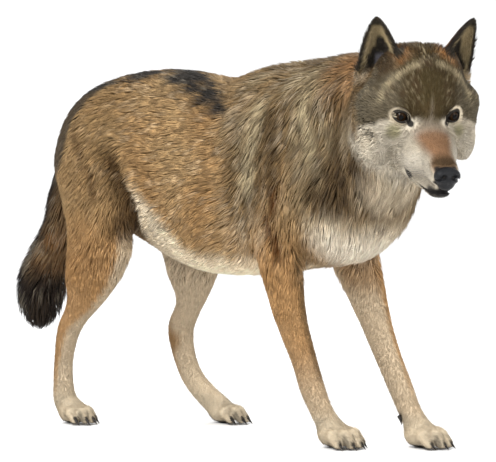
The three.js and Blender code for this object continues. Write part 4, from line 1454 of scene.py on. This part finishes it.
# %% Carry the colours
def carry_colour(mesh, colour):
    """Each point's colour, for the fur finish."""
    layer = mesh.color_attributes.new(name="coat_colour", type="FLOAT_COLOR", domain="POINT")
    rgba = np.ones((len(colour), 4), np.float32)
    rgba[:, :3] = np.clip(colour, 0, 1)
    layer.data.foreach_set("color", rgba.ravel())


carry_colour(skin.data, skin_colour)
skin.data.materials.append(shaded_hide_finish)

# %% [markdown]
# ## The coat
# Each tuft is a thin closed spike with a flat three-sided section. Its path starts just under the skin, rises
# through the coat's depth and then lies over, keeping to the hide as it goes. Neighbouring tufts lean towards
# the tip of a shared lock, as real guard hairs do, and a lock has a tone of its own. `COVER` says how many
# tufts lie over each bit of hide. Arrays make all of them at once, which is quick even at this number.

# %% Scatter the roots
CHANCE = np.random.default_rng(4)
COVER = 3.1
per_area = COVER / (0.5 * tuft_length * tuft_width) * (1 - np.clip(bare, 0, 1))
per_area *= 1 - 0.25 * leg_share - 0.2 * either_ear + 0.6 * skin_share["tail"] + 0.2 * skin_share["neck"]
per_area *= 1 + 0.35 * jowl * on_head
expected = tri_area * per_area[tris].mean(1)
number_here = np.floor(expected + CHANCE.random(len(expected))).astype(int)
root_tri = np.repeat(np.arange(len(tris)), number_here)
r1 = np.sqrt(CHANCE.random(len(root_tri)))
r2 = CHANCE.random(len(root_tri))
root_mix = np.stack([1 - r1, r1 * (1 - r2), r1 * r2], -1)


def at_root(values):
    """The skin points' values, at the roots of the tufts."""
    corner = values[tris[root_tri]]
    if corner.ndim == 2:
        return (corner * root_mix).sum(1)
    return (corner * root_mix[:, :, None]).sum(1)


root_bare = at_root(bare)
keep = CHANCE.random(len(root_tri)) > root_bare * 1.6
root_tri = root_tri[keep]
root_mix = root_mix[keep]

# %% Leave out tufts at the bottom of a slot, which have no room to stand
skin_walls = BVHTree.FromPolygons(skin_points.tolist(), tris.tolist())
starts = at_root(skin_points)
outward_ways = unit(at_root(skin_normals))
rooms = np.clip(0.6 * at_root(tuft_length), 4, 16)
starts += outward_ways
rays = zip(starts.tolist(), outward_ways.tolist(), rooms.tolist())
open_above = np.array([skin_walls.ray_cast(*ray)[0] is None for ray in rays])
root_tri = root_tri[open_above]
root_mix = root_mix[open_above]
print("tufts:", len(root_tri), "and left out:", (~open_above).sum())

# %% Bend the lie into gentle swirls
swirl = 0.22 * waves(skin_points, 110) + 0.16 * waves(skin_points, 38)
swirl *= 1 - 0.6 * np.maximum(skin_share["head"], lower_leg * leg_share)
across_lie = np.cross(skin_normals, skin_lie)
skin_lie = unit(skin_lie * np.cos(swirl)[:, None] + across_lie * np.sin(swirl)[:, None])

# %% The paths: root, middle and tip
def tree_of(points):
    """A tree for finding the nearest of the points."""
    tree = KDTree(len(points))
    for index, point in enumerate(points.tolist()):
        tree.insert(point, index)
    tree.balance()
    return tree


def nearest(tree, points):
    """Numbers of the tree's points that lie nearest."""
    return np.array([tree.find(point)[1] for point in points.tolist()])


def held_at(points, height):
    """Points brought to a height over the nearest hide, and the number of that place."""
    here = nearest(skin_tree, points)
    above = ((points - skin_points[here]) * skin_normals[here]).sum(1)
    return points + skin_normals[here] * (height - above)[:, None], here


skin_tree = tree_of(skin_points)
root = at_root(skin_points)
root_normal = unit(at_root(skin_normals))
length = at_root(tuft_length) * CHANCE.uniform(0.7, 1.25, len(root))
width = at_root(tuft_width) * CHANCE.uniform(0.7, 1.3, len(root))
depth = at_root(skin_depth)
turn = CHANCE.normal(0, 0.13, len(root))
way = at_root(skin_lie)
way = unit(way - root_normal * (way * root_normal).sum(1)[:, None])
way = way * np.cos(turn)[:, None] + np.cross(root_normal, way) * np.sin(turn)[:, None]
reach = np.sqrt(np.maximum(length**2 - depth**2, (0.6 * length) ** 2))
height = depth * CHANCE.uniform(0.5, 0.75, len(root))
middle, middle_here = held_at(root + way * (0.45 * reach)[:, None], height)
second = unit(way + 1.6 * skin_lie[middle_here])
height = depth * CHANCE.uniform(0.82, 1.08, len(root))
tip, tip_here = held_at(middle + second * (0.55 * reach)[:, None], height)

# %% Gather the tufts into locks
TUFTS_IN_LOCK = 13
lock_count = len(root) // TUFTS_IN_LOCK
lock_roots = CHANCE.choice(len(root), lock_count, replace=False)
lock = nearest(tree_of(root[lock_roots]), root)
leader = lock_roots[lock]
gather = (0.5 * ramp(length, 12, 40) + 0.12) * (1 - 0.6 * at_root(skin_share["head"] + skin_share["tail"]))
gather *= CHANCE.uniform(0.5, 1.2, len(root))
apart = np.linalg.norm(root - root[leader], axis=1)
gather *= ramp(0.5 * length - apart, 0, 0.2 * length)
tip = tip + (tip[leader] - tip) * gather[:, None]
middle = middle + (middle[leader] - middle) * 0.45 * gather[:, None]

# %% Colours of each tuft, from root to tip
grizzle = skin_share["neck"] + skin_share["throat"] * 0.7 + skin_share["trunk"] * 0.75
grizzle += skin_share["tail"] * 0.7 + on_head * 0.25 * (1 - face) + leg_share * 0.12
grizzle *= 1 - 0.8 * cheek
flecked = at_root(grizzle * (1 - 0.75 * ramp(skin_colour.mean(1), 0.3, 0.48)))
base = skin_colour[middle_here]
tip_base = skin_colour[tip_here]
lock_tone = CHANCE.normal(0, 1, lock_count)[lock]
tone = 1 + (0.05 + 0.10 * flecked) * lock_tone + CHANCE.normal(0, 0.06, len(root))
tone = np.clip(tone, 0.6, 1.4)[:, None]
base = base * tone
tip_base = tip_base * tone
lock_kind = CHANCE.random(lock_count)[lock]
base = laid(base, CREAM, flecked * 0.22 * (lock_kind < 0.16))
base = laid(base, UMBER, flecked * 0.3 * (lock_kind > 0.84))
ticked = (CHANCE.random(len(root)) < 0.3 * flecked) * 1.0
tip_colour = laid(tip_base * 1.06, CHARCOAL, 0.5 * ticked)
# Roots are painted a fifth darker: painted shade deep in the coat, and a darker undercoat.
root_undercoat_and_shade = base * 0.8

# %% Blades from the paths
ROOT_SINK = 1.2
sunk = root - root_normal * ROOT_SINK
first_way = unit(middle - sunk)
side_way = unit(np.cross(root_normal, first_way))
short_fur = at_root(np.clip(leg_share * lower_leg + on_head * face + cheek, 0, 1))
tilt = CHANCE.normal(0, 0.5, len(root)) * (1 - 0.7 * short_fur)
crest = (0.7 - 0.4 * short_fur)[:, None]
up_way = np.cross(first_way, side_way)
side_way = side_way * np.cos(tilt)[:, None] + up_way * np.sin(tilt)[:, None]
up_way = np.cross(first_way, side_way)
half_wide = (width / 2)[:, None]


def ring(centre, size):
    """Three corners of a flat section: left, ridge and right."""
    left = centre - side_way * half_wide * size
    ridge = centre + up_way * half_wide * size * crest
    right = centre + side_way * half_wide * size
    return [left, ridge, right]


# A long tuft has two sections and a tip, and a short one has one section and a tip.
LONG_FACES = [[0, 1, 2]]
for k in range(3):
    after = (k + 1) % 3
    LONG_FACES += [[k, k + 3, after], [after, k + 3, after + 3]]
LONG_FACES += [[3, 6, 4], [4, 6, 5], [5, 6, 3]]
SHORT_FACES = [[0, 1, 2], [0, 3, 1], [1, 3, 2], [2, 3, 0]]
LONG_TUFT = 15
PATCH_SIZE = 0.0015
LONG_PATCH = np.array([[-1, -1], [0, -1], [1, -1], [-0.8, 0.2], [0, 0.2], [0.8, 0.2], [0, 1]]) * PATCH_SIZE
SHORT_PATCH = np.array([[-1, -1], [0, -1], [1, -1], [0, 1]]) * PATCH_SIZE
root_map = (corner_map[tri_loops[root_tri]] * root_mix[:, :, None]).sum(1)
long_corners = np.stack(ring(sunk, 0.7) + ring(middle, 0.9) + [tip], 1)
short_corners = np.stack(ring(sunk, 1.0) + [tip], 1)
long_paint = np.stack([root_undercoat_and_shade] * 3 + [base] * 3 + [tip_colour], 1)
short_paint = np.stack([0.5 * (base + root_undercoat_and_shade)] * 3 + [tip_colour], 1)


def mesh_from_arrays(name, points, faces, colour, corner_uv):
    """A closed mesh from arrays of triangles, with its colour and its places on the unwrap."""
    mesh = bpy.data.meshes.new(name)
    mesh.vertices.add(len(points))
    mesh.vertices.foreach_set("co", ((points + SHIFT) / 1000).astype(np.float32).ravel())
    mesh.loops.add(len(faces) * 3)
    mesh.loops.foreach_set("vertex_index", faces.astype(np.int32).ravel())
    mesh.polygons.add(len(faces))
    mesh.polygons.foreach_set("loop_start", np.arange(0, len(faces) * 3, 3, dtype=np.int32))
    mesh.update(calc_edges=True)
    mesh.shade_smooth()
    layer = mesh.uv_layers.new(name="OFBake")
    layer.data.foreach_set("uv", corner_uv[faces.ravel()].astype(np.float32).ravel())
    carry_colour(mesh, colour)
    return mesh


def tuft_mesh(name, pick):
    """The long and the short tufts of one piece of the coat."""
    is_long = length[pick] >= LONG_TUFT
    points, colour, places, faces = [], [], [], []
    start = 0
    for chosen, corners, painted, patch, pattern in (
        (pick[is_long], long_corners, long_paint, LONG_PATCH, LONG_FACES),
        (pick[~is_long], short_corners, short_paint, SHORT_PATCH, SHORT_FACES),
    ):
        points.append(corners[chosen].reshape(-1, 3))
        colour.append(painted[chosen].reshape(-1, 3))
        places.append((root_map[chosen][:, None] + patch).reshape(-1, 2))
        first = start + np.arange(len(chosen))[:, None, None] * len(patch)
        faces.append((first + np.array(pattern)).reshape(-1, 3))
        start += len(chosen) * len(patch)
    return mesh_from_arrays(name, np.vstack(points), np.vstack(faces), np.vstack(colour), np.vstack(places))


# %% Share the tufts out among pieces of the coat
RUMP_STARTS = -170
MOST_TRIANGLES = 185000
root_share = {name: at_root(value) for name, value in skin_share.items()}
mass_names = list(root_share)
mass_of = np.array(mass_names)[np.stack([root_share[n] for n in mass_names]).argmax(0)]
side_of = np.where(root[:, 1] < 0, "right", "left")
piece_of = np.array([f"coat_{mass}" for mass in mass_of], dtype="U40")
halved = np.isin(mass_of, ["trunk", "neck", "throat", "head"])
side_in_head = np.where(to_head(root)[:, 1] < 0, "right", "left")
side_of = np.where(mass_of == "head", side_in_head, side_of)
piece_of[halved] = np.char.add(np.char.add(piece_of[halved], "_"), side_of[halved])
behind = (mass_of == "trunk") & (root[:, 0] < RUMP_STARTS)
piece_of[behind] = np.char.replace(piece_of[behind], "trunk", "rump")

coat = []
SLOT_OF = {"tail": "dark_coat", "fore": "leg_coat", "hind": "leg_coat"}
triangle_total = 0
for name in sorted(set(piece_of)):
    pick = np.where(piece_of == name)[0]
    cost = np.where(length[pick] >= LONG_TUFT, len(LONG_FACES), len(SHORT_FACES))
    parts = int(np.ceil(cost.sum() / MOST_TRIANGLES))
    share_out = np.minimum((np.cumsum(cost) * parts / cost.sum()).astype(int), parts - 1)
    for part in range(parts):
        own = pick[share_out == part]
        label = name if parts == 1 else f"{name}_{part + 1}"
        mesh = tuft_mesh(label, own)
        mesh.materials.append(tuft_finish)
        piece = bpy.data.objects.new(label, mesh)
        bpy.context.scene.collection.objects.link(piece)
        piece["slot_wanted"] = SLOT_OF.get(name.split("_")[1], "coat")
        coat.append(piece)
        triangle_total += len(mesh.polygons)
        print(label, len(own), "tufts,", len(mesh.polygons), "triangles")
print("coat:", triangle_total, "triangles")

# %% [markdown]
# ## Eyes
# A wolf's eye is a wet ball with a round pupil, an amber-brown iris and a dark ring round it. The clear front
# bulges a little, so the ball is swollen towards the gaze. The rings are told by an attribute that holds each
# point's angle from the gaze.

# %% The eyeballs
def eye_finish():
    """Pupil, iris and dark ring, told by the angle from the gaze."""
    finish, tree, shader = new_finish("eye", 0.06)
    shader.inputs["Specular IOR Level"].default_value = 0.08
    angle = tree.nodes.new("ShaderNodeAttribute")
    angle.attribute_name = "from_gaze"
    bands = tree.nodes.new("ShaderNodeValToRGB")
    stops = [
        (0.0, paint(4, 4, 5)),
        (0.20, paint(5, 4, 4)),
        (0.24, paint(25, 16, 8)),
        (0.36, paint(42, 27, 13)),
        (0.47, paint(22, 14, 8)),
        (0.54, paint(14, 10, 9)),
        (0.80, paint(24, 18, 16)),
    ]
    ramp_stops = bands.color_ramp.elements
    while len(ramp_stops) < len(stops):
        ramp_stops.new(0.5)
    for stop, (place, colour) in zip(ramp_stops, stops):
        stop.position = place
        stop.color = (*colour, 1)
    fibres = noise_at(tree, 900)
    sway = tree.nodes.new("ShaderNodeMath")
    sway.operation = "MULTIPLY_ADD"
    sway.inputs[1].default_value = 0.03
    join(tree, (fibres, "Fac", sway, 0), (angle, "Fac", sway, 2), (sway, "Value", bands, "Fac"))
    join(tree, (bands, "Color", shader, "Base Color"))
    return finish


iris_finish = eye_finish()
EYE_ROWS = 40
EYE_COLUMNS = 48


def eyeball(name, side):
    """A ball of rows and columns about the gaze, swollen a little in front."""
    gaze, across, up = eye_axes(side)
    middle = sided(EYE_AT, side)
    angle = np.repeat(np.linspace(0, math.pi, EYE_ROWS + 1)[1:-1], EYE_COLUMNS)
    round_about = np.tile(np.arange(EYE_COLUMNS) * 2 * math.pi / EYE_COLUMNS, EYE_ROWS - 1)
    swell = EYE_RADIUS - 0.15 + 0.8 * ramp(0.62 - angle, 0, 0.4)
    direction = np.cos(angle)[:, None] * gaze
    direction = direction + np.sin(angle)[:, None] * (
        np.cos(round_about)[:, None] * across + np.sin(round_about)[:, None] * up
    )
    points = [middle + gaze * (EYE_RADIUS + 0.65), *(middle + direction * swell[:, None])]
    points.append(middle - gaze * EYE_RADIUS)
    faces = []
    for column in range(EYE_COLUMNS):
        beside = (column + 1) % EYE_COLUMNS
        faces.append([0, 1 + column, 1 + beside])
        for row in range(EYE_ROWS - 2):
            a = 1 + row * EYE_COLUMNS
            faces.append([a + column, a + EYE_COLUMNS + column, a + EYE_COLUMNS + beside, a + beside])
        a = 1 + (EYE_ROWS - 2) * EYE_COLUMNS
        faces.append([a + column, len(points) - 1, a + beside])
    piece = new_piece(name, from_head(points), faces)
    outward(piece)
    layer = piece.data.attributes.new(name="from_gaze", type="FLOAT", domain="POINT")
    layer.data.foreach_set("value", np.concatenate([[0], angle / math.pi, [1]]).astype(np.float32) * 2)
    piece.data.materials.append(iris_finish)
    return piece


def outward(piece):
    """Faces turned outwards."""
    only_select(piece)
    bpy.ops.object.mode_set(mode="EDIT")
    bpy.ops.mesh.select_all(action="SELECT")
    bpy.ops.mesh.normals_make_consistent(inside=False)
    bpy.ops.object.mode_set(mode="OBJECT")


eyes = {-1: eyeball("eyeball_right", -1), 1: eyeball("eyeball_left", 1)}
print("eyes:", [len(eye.data.polygons) for eye in eyes.values()], "faces")

# %% [markdown]
# ## Nose leather
# The nose is bare, pebbled, moist skin with comma-shaped nostrils and a groove down its middle. It is a small
# field of its own, meshed finely in the head's frame.

# %% The nose leather
def nose_field(q):
    """The leather with its nostrils, their slits and the groove between them."""
    d = ball(q, [119.5, 0, -64], [17, 20.5, 16.5])
    d = blend(d, ball(q, [121, 0, -79], [10, 13, 9]), 8)
    for side in (-1, 1):
        d = blend(d, ball(q, [124, side * 12.5, -61], [10, 9.5, 10]), 6)
        d = carve(d, -ball(q, [137, side * 9, -61], [8, 5, 5]), 2)
        slit = rod(q, [134, side * 13, -64, 2.6, 1], [118, side * 25, -70, 1.8, 1])
        d = carve(d, -slit, 2)
    groove = rod(q, [140, 0, -60, 1.5, 1], [132, 0, -88, 1.5, 1])
    d = carve(d, -groove, 2)
    return carve(d, np.maximum(105 - q[:, 0], -87 - q[:, 2]), 3)


NOSE_CELL = 1.2
NOSE_LOW = np.array([98.0, -30.0, -92.4])
NOSE_HIGH = NOSE_LOW + np.ceil((np.array([144.0, 30.0, -36.0]) - NOSE_LOW) / NOSE_CELL) * NOSE_CELL
nose_points, nose_quads = net_block(nose_field, NOSE_LOW, NOSE_HIGH, NOSE_CELL)
nose_points = on_surface(nose_field, nose_points, NOSE_CELL)
leather = new_piece("nose_leather", from_head(nose_points), nose_quads.tolist())
outward(leather)

leather_finish, tree, shader = new_finish("nose leather", 0.42)
shader.inputs["Specular IOR Level"].default_value = 0.2
pebbles = tree.nodes.new("ShaderNodeTexVoronoi")
pebbles.inputs["Scale"].default_value = 900
place = tree.nodes.new("ShaderNodeTexCoord")
join(tree, (place, "Object", pebbles, "Vector"))
tone_mix = tree.nodes.new("ShaderNodeMix")
tone_mix.data_type = "RGBA"
tone_mix.inputs["A"].default_value = (*paint(13, 14, 17), 1)
tone_mix.inputs["B"].default_value = (*paint(8, 8, 10), 1)
join(tree, (noise_at(tree, 60), "Fac", tone_mix, "Factor"), (tone_mix, "Result", shader, "Base Color"))
tree.links.new(spread(tree, pebbles.outputs["Distance"], 0.3, 0.55), shader.inputs["Roughness"])
add_bump(tree, shader, pebbles.outputs["Distance"], 0.5, 0.0008)
leather.data.materials.append(leather_finish)
print("nose leather:", len(leather.data.polygons), "faces")

# %% [markdown]
# ## Claws and whiskers
# Claws and whiskers are the same thing many times: a tapered spike that grows from a root in a set direction.
# A Geometry Nodes tree makes one spike, sets it on each root, and turns and sizes it by attributes of the
# root. Realize Instances turns the copies into plain mesh.

# %% A tree that sets spikes on roots
def bent_cone(tree, given, sides):
    """Nodes for a smooth cone that bends down along its own length."""
    nodes = tree.nodes
    cone = nodes.new("GeometryNodeMeshCone")
    cone.inputs["Vertices"].default_value = sides
    cone.inputs["Side Segments"].default_value = 5
    cone.inputs["Depth"].default_value = 1.0
    cone.inputs["Radius Top"].default_value = 0.0
    place = nodes.new("GeometryNodeInputPosition")
    split = nodes.new("ShaderNodeSeparateXYZ")
    square = nodes.new("ShaderNodeMath")
    fall = nodes.new("ShaderNodeMath")
    for times in (square, fall):
        times.operation = "MULTIPLY"
    offset = nodes.new("ShaderNodeCombineXYZ")
    bend = nodes.new("GeometryNodeSetPosition")
    smooth = nodes.new("GeometryNodeSetShadeSmooth")
    join(tree, (given, "Thickness", cone, "Radius Bottom"), (place, "Position", split, "Vector"))
    join(tree, (split, "Z", square, 0), (split, "Z", square, 1), (square, "Value", fall, 0))
    join(tree, (given, "Droop", fall, 1), (fall, "Value", offset, "X"), (cone, "Mesh", bend, "Geometry"))
    join(tree, (offset, "Vector", bend, "Offset"), (bend, "Geometry", smooth, "Geometry"))
    return smooth


def spike_tree(name, sides):
    """Nodes that set a bent cone on each root, turned and sized by the root's own attributes."""
    tree = bpy.data.node_groups.new(name, "GeometryNodeTree")
    face = tree.interface
    face.new_socket(name="Roots", in_out="INPUT", socket_type="NodeSocketGeometry")
    for label in ("Thickness", "Droop"):
        face.new_socket(name=label, in_out="INPUT", socket_type="NodeSocketFloat")
    face.new_socket(name="Finish", in_out="INPUT", socket_type="NodeSocketMaterial")
    face.new_socket(name="Spikes", in_out="OUTPUT", socket_type="NodeSocketGeometry")
    nodes = tree.nodes
    given = nodes.new("NodeGroupInput")
    out = nodes.new("NodeGroupOutput")
    smooth = bent_cone(tree, given, sides)
    turn = nodes.new("GeometryNodeInputNamedAttribute")
    turn.data_type = "QUATERNION"
    turn.inputs["Name"].default_value = "turn"
    size = nodes.new("GeometryNodeInputNamedAttribute")
    size.data_type = "FLOAT"
    size.inputs["Name"].default_value = "reach"
    copies = nodes.new("GeometryNodeInstanceOnPoints")
    join(tree, (given, "Roots", copies, "Points"), (smooth, "Geometry", copies, "Instance"))
    join(tree, (turn, "Attribute", copies, "Rotation"), (size, "Attribute", copies, "Scale"))
    real = nodes.new("GeometryNodeRealizeInstances")
    coated = nodes.new("GeometryNodeSetMaterial")
    join(tree, (copies, "Instances", real, "Geometry"), (real, "Geometry", coated, "Geometry"))
    join(tree, (given, "Finish", coated, "Material"), (coated, "Geometry", out, "Spikes"))
    return tree


DOWN = np.array([0.0, 0.0, -1.0])


def spikes(name, tree, roots, ways, reaches, thickness, droop, finish):
    """One piece of plain mesh with a spike at each root, pointing its own way and bending down."""
    mesh = bpy.data.meshes.new(name + "_roots")
    mesh.from_pydata(((roots + SHIFT) / 1000).tolist(), [], [])
    z = unit(ways)
    x = unit(DOWN - z * (DOWN * z).sum(1)[:, None])
    y = np.cross(z, x)
    turns = []
    for a, b, c in zip(x, y, z):
        turns.append(Matrix(np.stack([a, b, c], 1).tolist()).to_quaternion())
    layer = mesh.attributes.new(name="turn", type="QUATERNION", domain="POINT")
    layer.data.foreach_set("value", np.array([list(q) for q in turns], np.float32).ravel())
    layer = mesh.attributes.new(name="reach", type="FLOAT", domain="POINT")
    layer.data.foreach_set("value", (np.array(reaches) / 1000).astype(np.float32))
    holder = bpy.data.objects.new(name, mesh)
    bpy.context.scene.collection.objects.link(holder)
    modifier = holder.modifiers.new("spikes", "NODES")
    modifier.node_group = tree
    values = {"Thickness": thickness, "Droop": droop, "Finish": finish}
    for item in tree.interface.items_tree:
        if item.item_type == "SOCKET" and item.in_out == "INPUT" and item.name in values:
            modifier[item.identifier] = values[item.name]
    bpy.context.view_layer.update()
    ready = holder.evaluated_get(bpy.context.evaluated_depsgraph_get())
    plain = bpy.data.meshes.new_from_object(ready)
    plain.name = name
    holder.modifiers.clear()
    holder.data = plain
    return holder


def horn_finish(name, roughness, size, tones, rough):
    """Two tones and a range of roughness, mixed by one fine grain."""
    finish, tree, shader = new_finish(name, roughness)
    grain = noise_at(tree, size)
    mix = tree.nodes.new("ShaderNodeValToRGB")
    for stop, tone in zip(mix.color_ramp.elements, tones):
        stop.color = (*paint(*tone), 1)
    join(tree, (grain, "Fac", mix, "Fac"), (mix, "Color", shader, "Base Color"))
    tree.links.new(spread(tree, grain.outputs["Fac"], *rough), shader.inputs["Roughness"])
    return finish, tree, shader, grain


# %% Claws
CLAW_REACH = 21.0
DEWCLAW_REACH = 19.0
CLAW_TONES = [(14, 12, 11), (40, 34, 30)]
claw_horn, tree, shader, grain = horn_finish("claw horn", 0.35, 350, CLAW_TONES, (0.25, 0.5))
shader.inputs["Specular IOR Level"].default_value = 0.2
add_bump(tree, shader, grain.outputs["Fac"], 0.3, 0.0005)

claw_roots = []
claw_ways = []
for leg in LEGS.values():
    for spread_at, reach_at in zip(leg["kind"]["spread"], leg["kind"]["reach"]):
        start = leg["ahead"] * (reach_at + 1) + leg["across"] * spread_at * 1.07 + [*leg["paw"], SOLE + 14]
        end = leg["ahead"] * (reach_at + 24) + leg["across"] * spread_at * 1.15 + [*leg["paw"], SOLE + 3]
        claw_roots.append(start)
        claw_ways.append(end - start)
claw_reaches = [CLAW_REACH] * len(claw_roots)
for leg in LEGS.values():
    if leg["kind"] is FORE_PAW:
        claw_roots.append(-50 * leg["ahead"] - leg["side"] * 15 * leg["across"] + [*leg["paw"], SOLE + 56])
        claw_ways.append(0.8 * leg["ahead"] - leg["side"] * 0.5 * leg["across"] + DOWN)
        claw_reaches.append(DEWCLAW_REACH)
claw_tree = spike_tree("spikes on roots", 10)
claw_roots = np.array(claw_roots)
claw_ways = np.array(claw_ways)
claws = spikes("claws", claw_tree, claw_roots, claw_ways, claw_reaches, 0.25, 0.2, claw_horn)
print("claws:", len(claw_roots), "of", len(claws.data.polygons), "faces in all")

# %% Whiskers
WHISKER_TONES = [(34, 30, 28), (150, 142, 130)]
WHISKER_WIDTH = 0.011
WHISKER_ROWS = 3
WHISKER_COLUMNS = 5
whisker_horn, *_ = horn_finish("whisker", 0.4, 200, WHISKER_TONES, (0.3, 0.5))
whisker_roots = []
whisker_ways = []
for side in (-1, 1):
    for row in range(WHISKER_ROWS):
        for column in range(WHISKER_COLUMNS):
            x = 96 - 12 * column - 3 * row
            z = -66 - 8 * row - 1.5 * column
            whisker_roots.append(from_head([x, side * (24 + 1.3 * column), z]))
            out = [-0.5 - 0.1 * column, side * (0.9 - 0.1 * row), -0.12 - 0.16 * row]
            whisker_ways.append(HEAD_AXES @ np.array(out))
whisker_roots = np.array(whisker_roots)
whisker_ways = np.array(whisker_ways)
whisker_reach = CHANCE.uniform(26, 42, len(whisker_roots))
whisker_tree = spike_tree("whiskers on roots", 4)
whiskers = spikes(
    "whiskers", whisker_tree, whisker_roots, whisker_ways, whisker_reach, WHISKER_WIDTH, 0.25, whisker_horn
)
print("whiskers:", len(whisker_roots))

# %% [markdown]
# ## Put it on the frame
# Each finished piece rides on the solid model's one body. The skin and coat stand for the nodes of flesh, the
# eyeballs for the eyes and the leather for the nose.

# %% Ride and replace
flesh = [node for node in frame["nodes"] if node not in ("eye_right", "eye_left", "nose")]
for piece in [skin, *coat, *eyes.values(), leather, claws, whiskers]:
    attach(piece, "root")
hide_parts(*flesh)
for piece in coat:
    piece.pop("slot_wanted")
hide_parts("eye_right")
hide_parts("eye_left")
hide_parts("nose")

# %% [markdown]
# ## The studio
# A pale floor turns up into a pale wall all round, so that no horizon shows from any side. Three broad lights
# give a bright, soft, even look.

# %% Floor, light and camera
FLAT = 5.2
BEND = 1.6
WALL_TOP = 4.2
TURNS = 72
profile = [(0.0, 0.0), (FLAT, 0.0)]
for a in np.linspace(0.15, math.pi / 2, 12):
    profile.append((FLAT + BEND * math.sin(a), BEND - BEND * math.cos(a)))
profile.append((FLAT + BEND, WALL_TOP))
floor_points = [(0, 0, 0)]
for radius, height in profile[1:]:
    for k in range(TURNS):
        a = 2 * math.pi * k / TURNS
        floor_points.append((radius * math.cos(a), radius * math.sin(a), height))
floor_faces = [(0, 1 + k, 1 + (k + 1) % TURNS) for k in range(TURNS)]
for row in range(len(profile) - 2):
    a = 1 + row * TURNS
    for k in range(TURNS):
        beside = (k + 1) % TURNS
        floor_faces.append((a + k, a + TURNS + k, a + TURNS + beside, a + beside))
floor_mesh = bpy.data.meshes.new("studio_floor")
floor_mesh.from_pydata(floor_points, [], floor_faces)
floor_mesh.shade_smooth()
floor = bpy.data.objects.new("studio_floor", floor_mesh)
bpy.context.scene.collection.objects.link(floor)
floor_finish, _, shader = new_finish("pale floor", 0.9)
shader.inputs["Base Color"].default_value = (0.86, 0.86, 0.86, 1)
floor_mesh.materials.append(floor_finish)

world = bpy.data.worlds.new("studio")
bpy.context.scene.world = world
world.use_nodes = True
sky = world.node_tree.nodes["Background"]
sky.inputs["Color"].default_value = (1, 1, 1, 1)
sky.inputs["Strength"].default_value = 0.9

LIGHTS = {
    "key light": [(0.6, -3.6, 3.4), 230, 2.0],
    "fill light": [(4.2, -0.6, 2.2), 90, 2.4],
    "back light": [(-2.2, 3.4, 3.2), 130, 2.4],
}
LIT = Vector((0.1, 0.0, 0.4))
for name, (place, power, size) in LIGHTS.items():
    light = bpy.data.lights.new(name, "AREA")
    light.energy = power
    light.size = size
    lamp = bpy.data.objects.new(name, light)
    bpy.context.scene.collection.objects.link(lamp)
    lamp.location = place
    lamp.rotation_euler = (LIT - lamp.location).to_track_quat("-Z", "Y").to_euler()

CAMERA_AT = np.array([2493.01, -2868.29, 464.0])
CAMERA_TURN = 41.7
CAMERA_DIP = 1.136
camera_data = bpy.data.cameras.new("camera")
camera_data.lens = 142.69
camera_data.sensor_width = 36
camera = bpy.data.objects.new("camera", camera_data)
bpy.context.scene.collection.objects.link(camera)
camera.location = (CAMERA_AT + SHIFT) / 1000
camera.rotation_euler = (math.radians(90 - CAMERA_DIP), 0, math.radians(CAMERA_TURN))
bpy.context.scene.camera = camera
bpy.context.scene.view_settings.view_transform = "Standard"
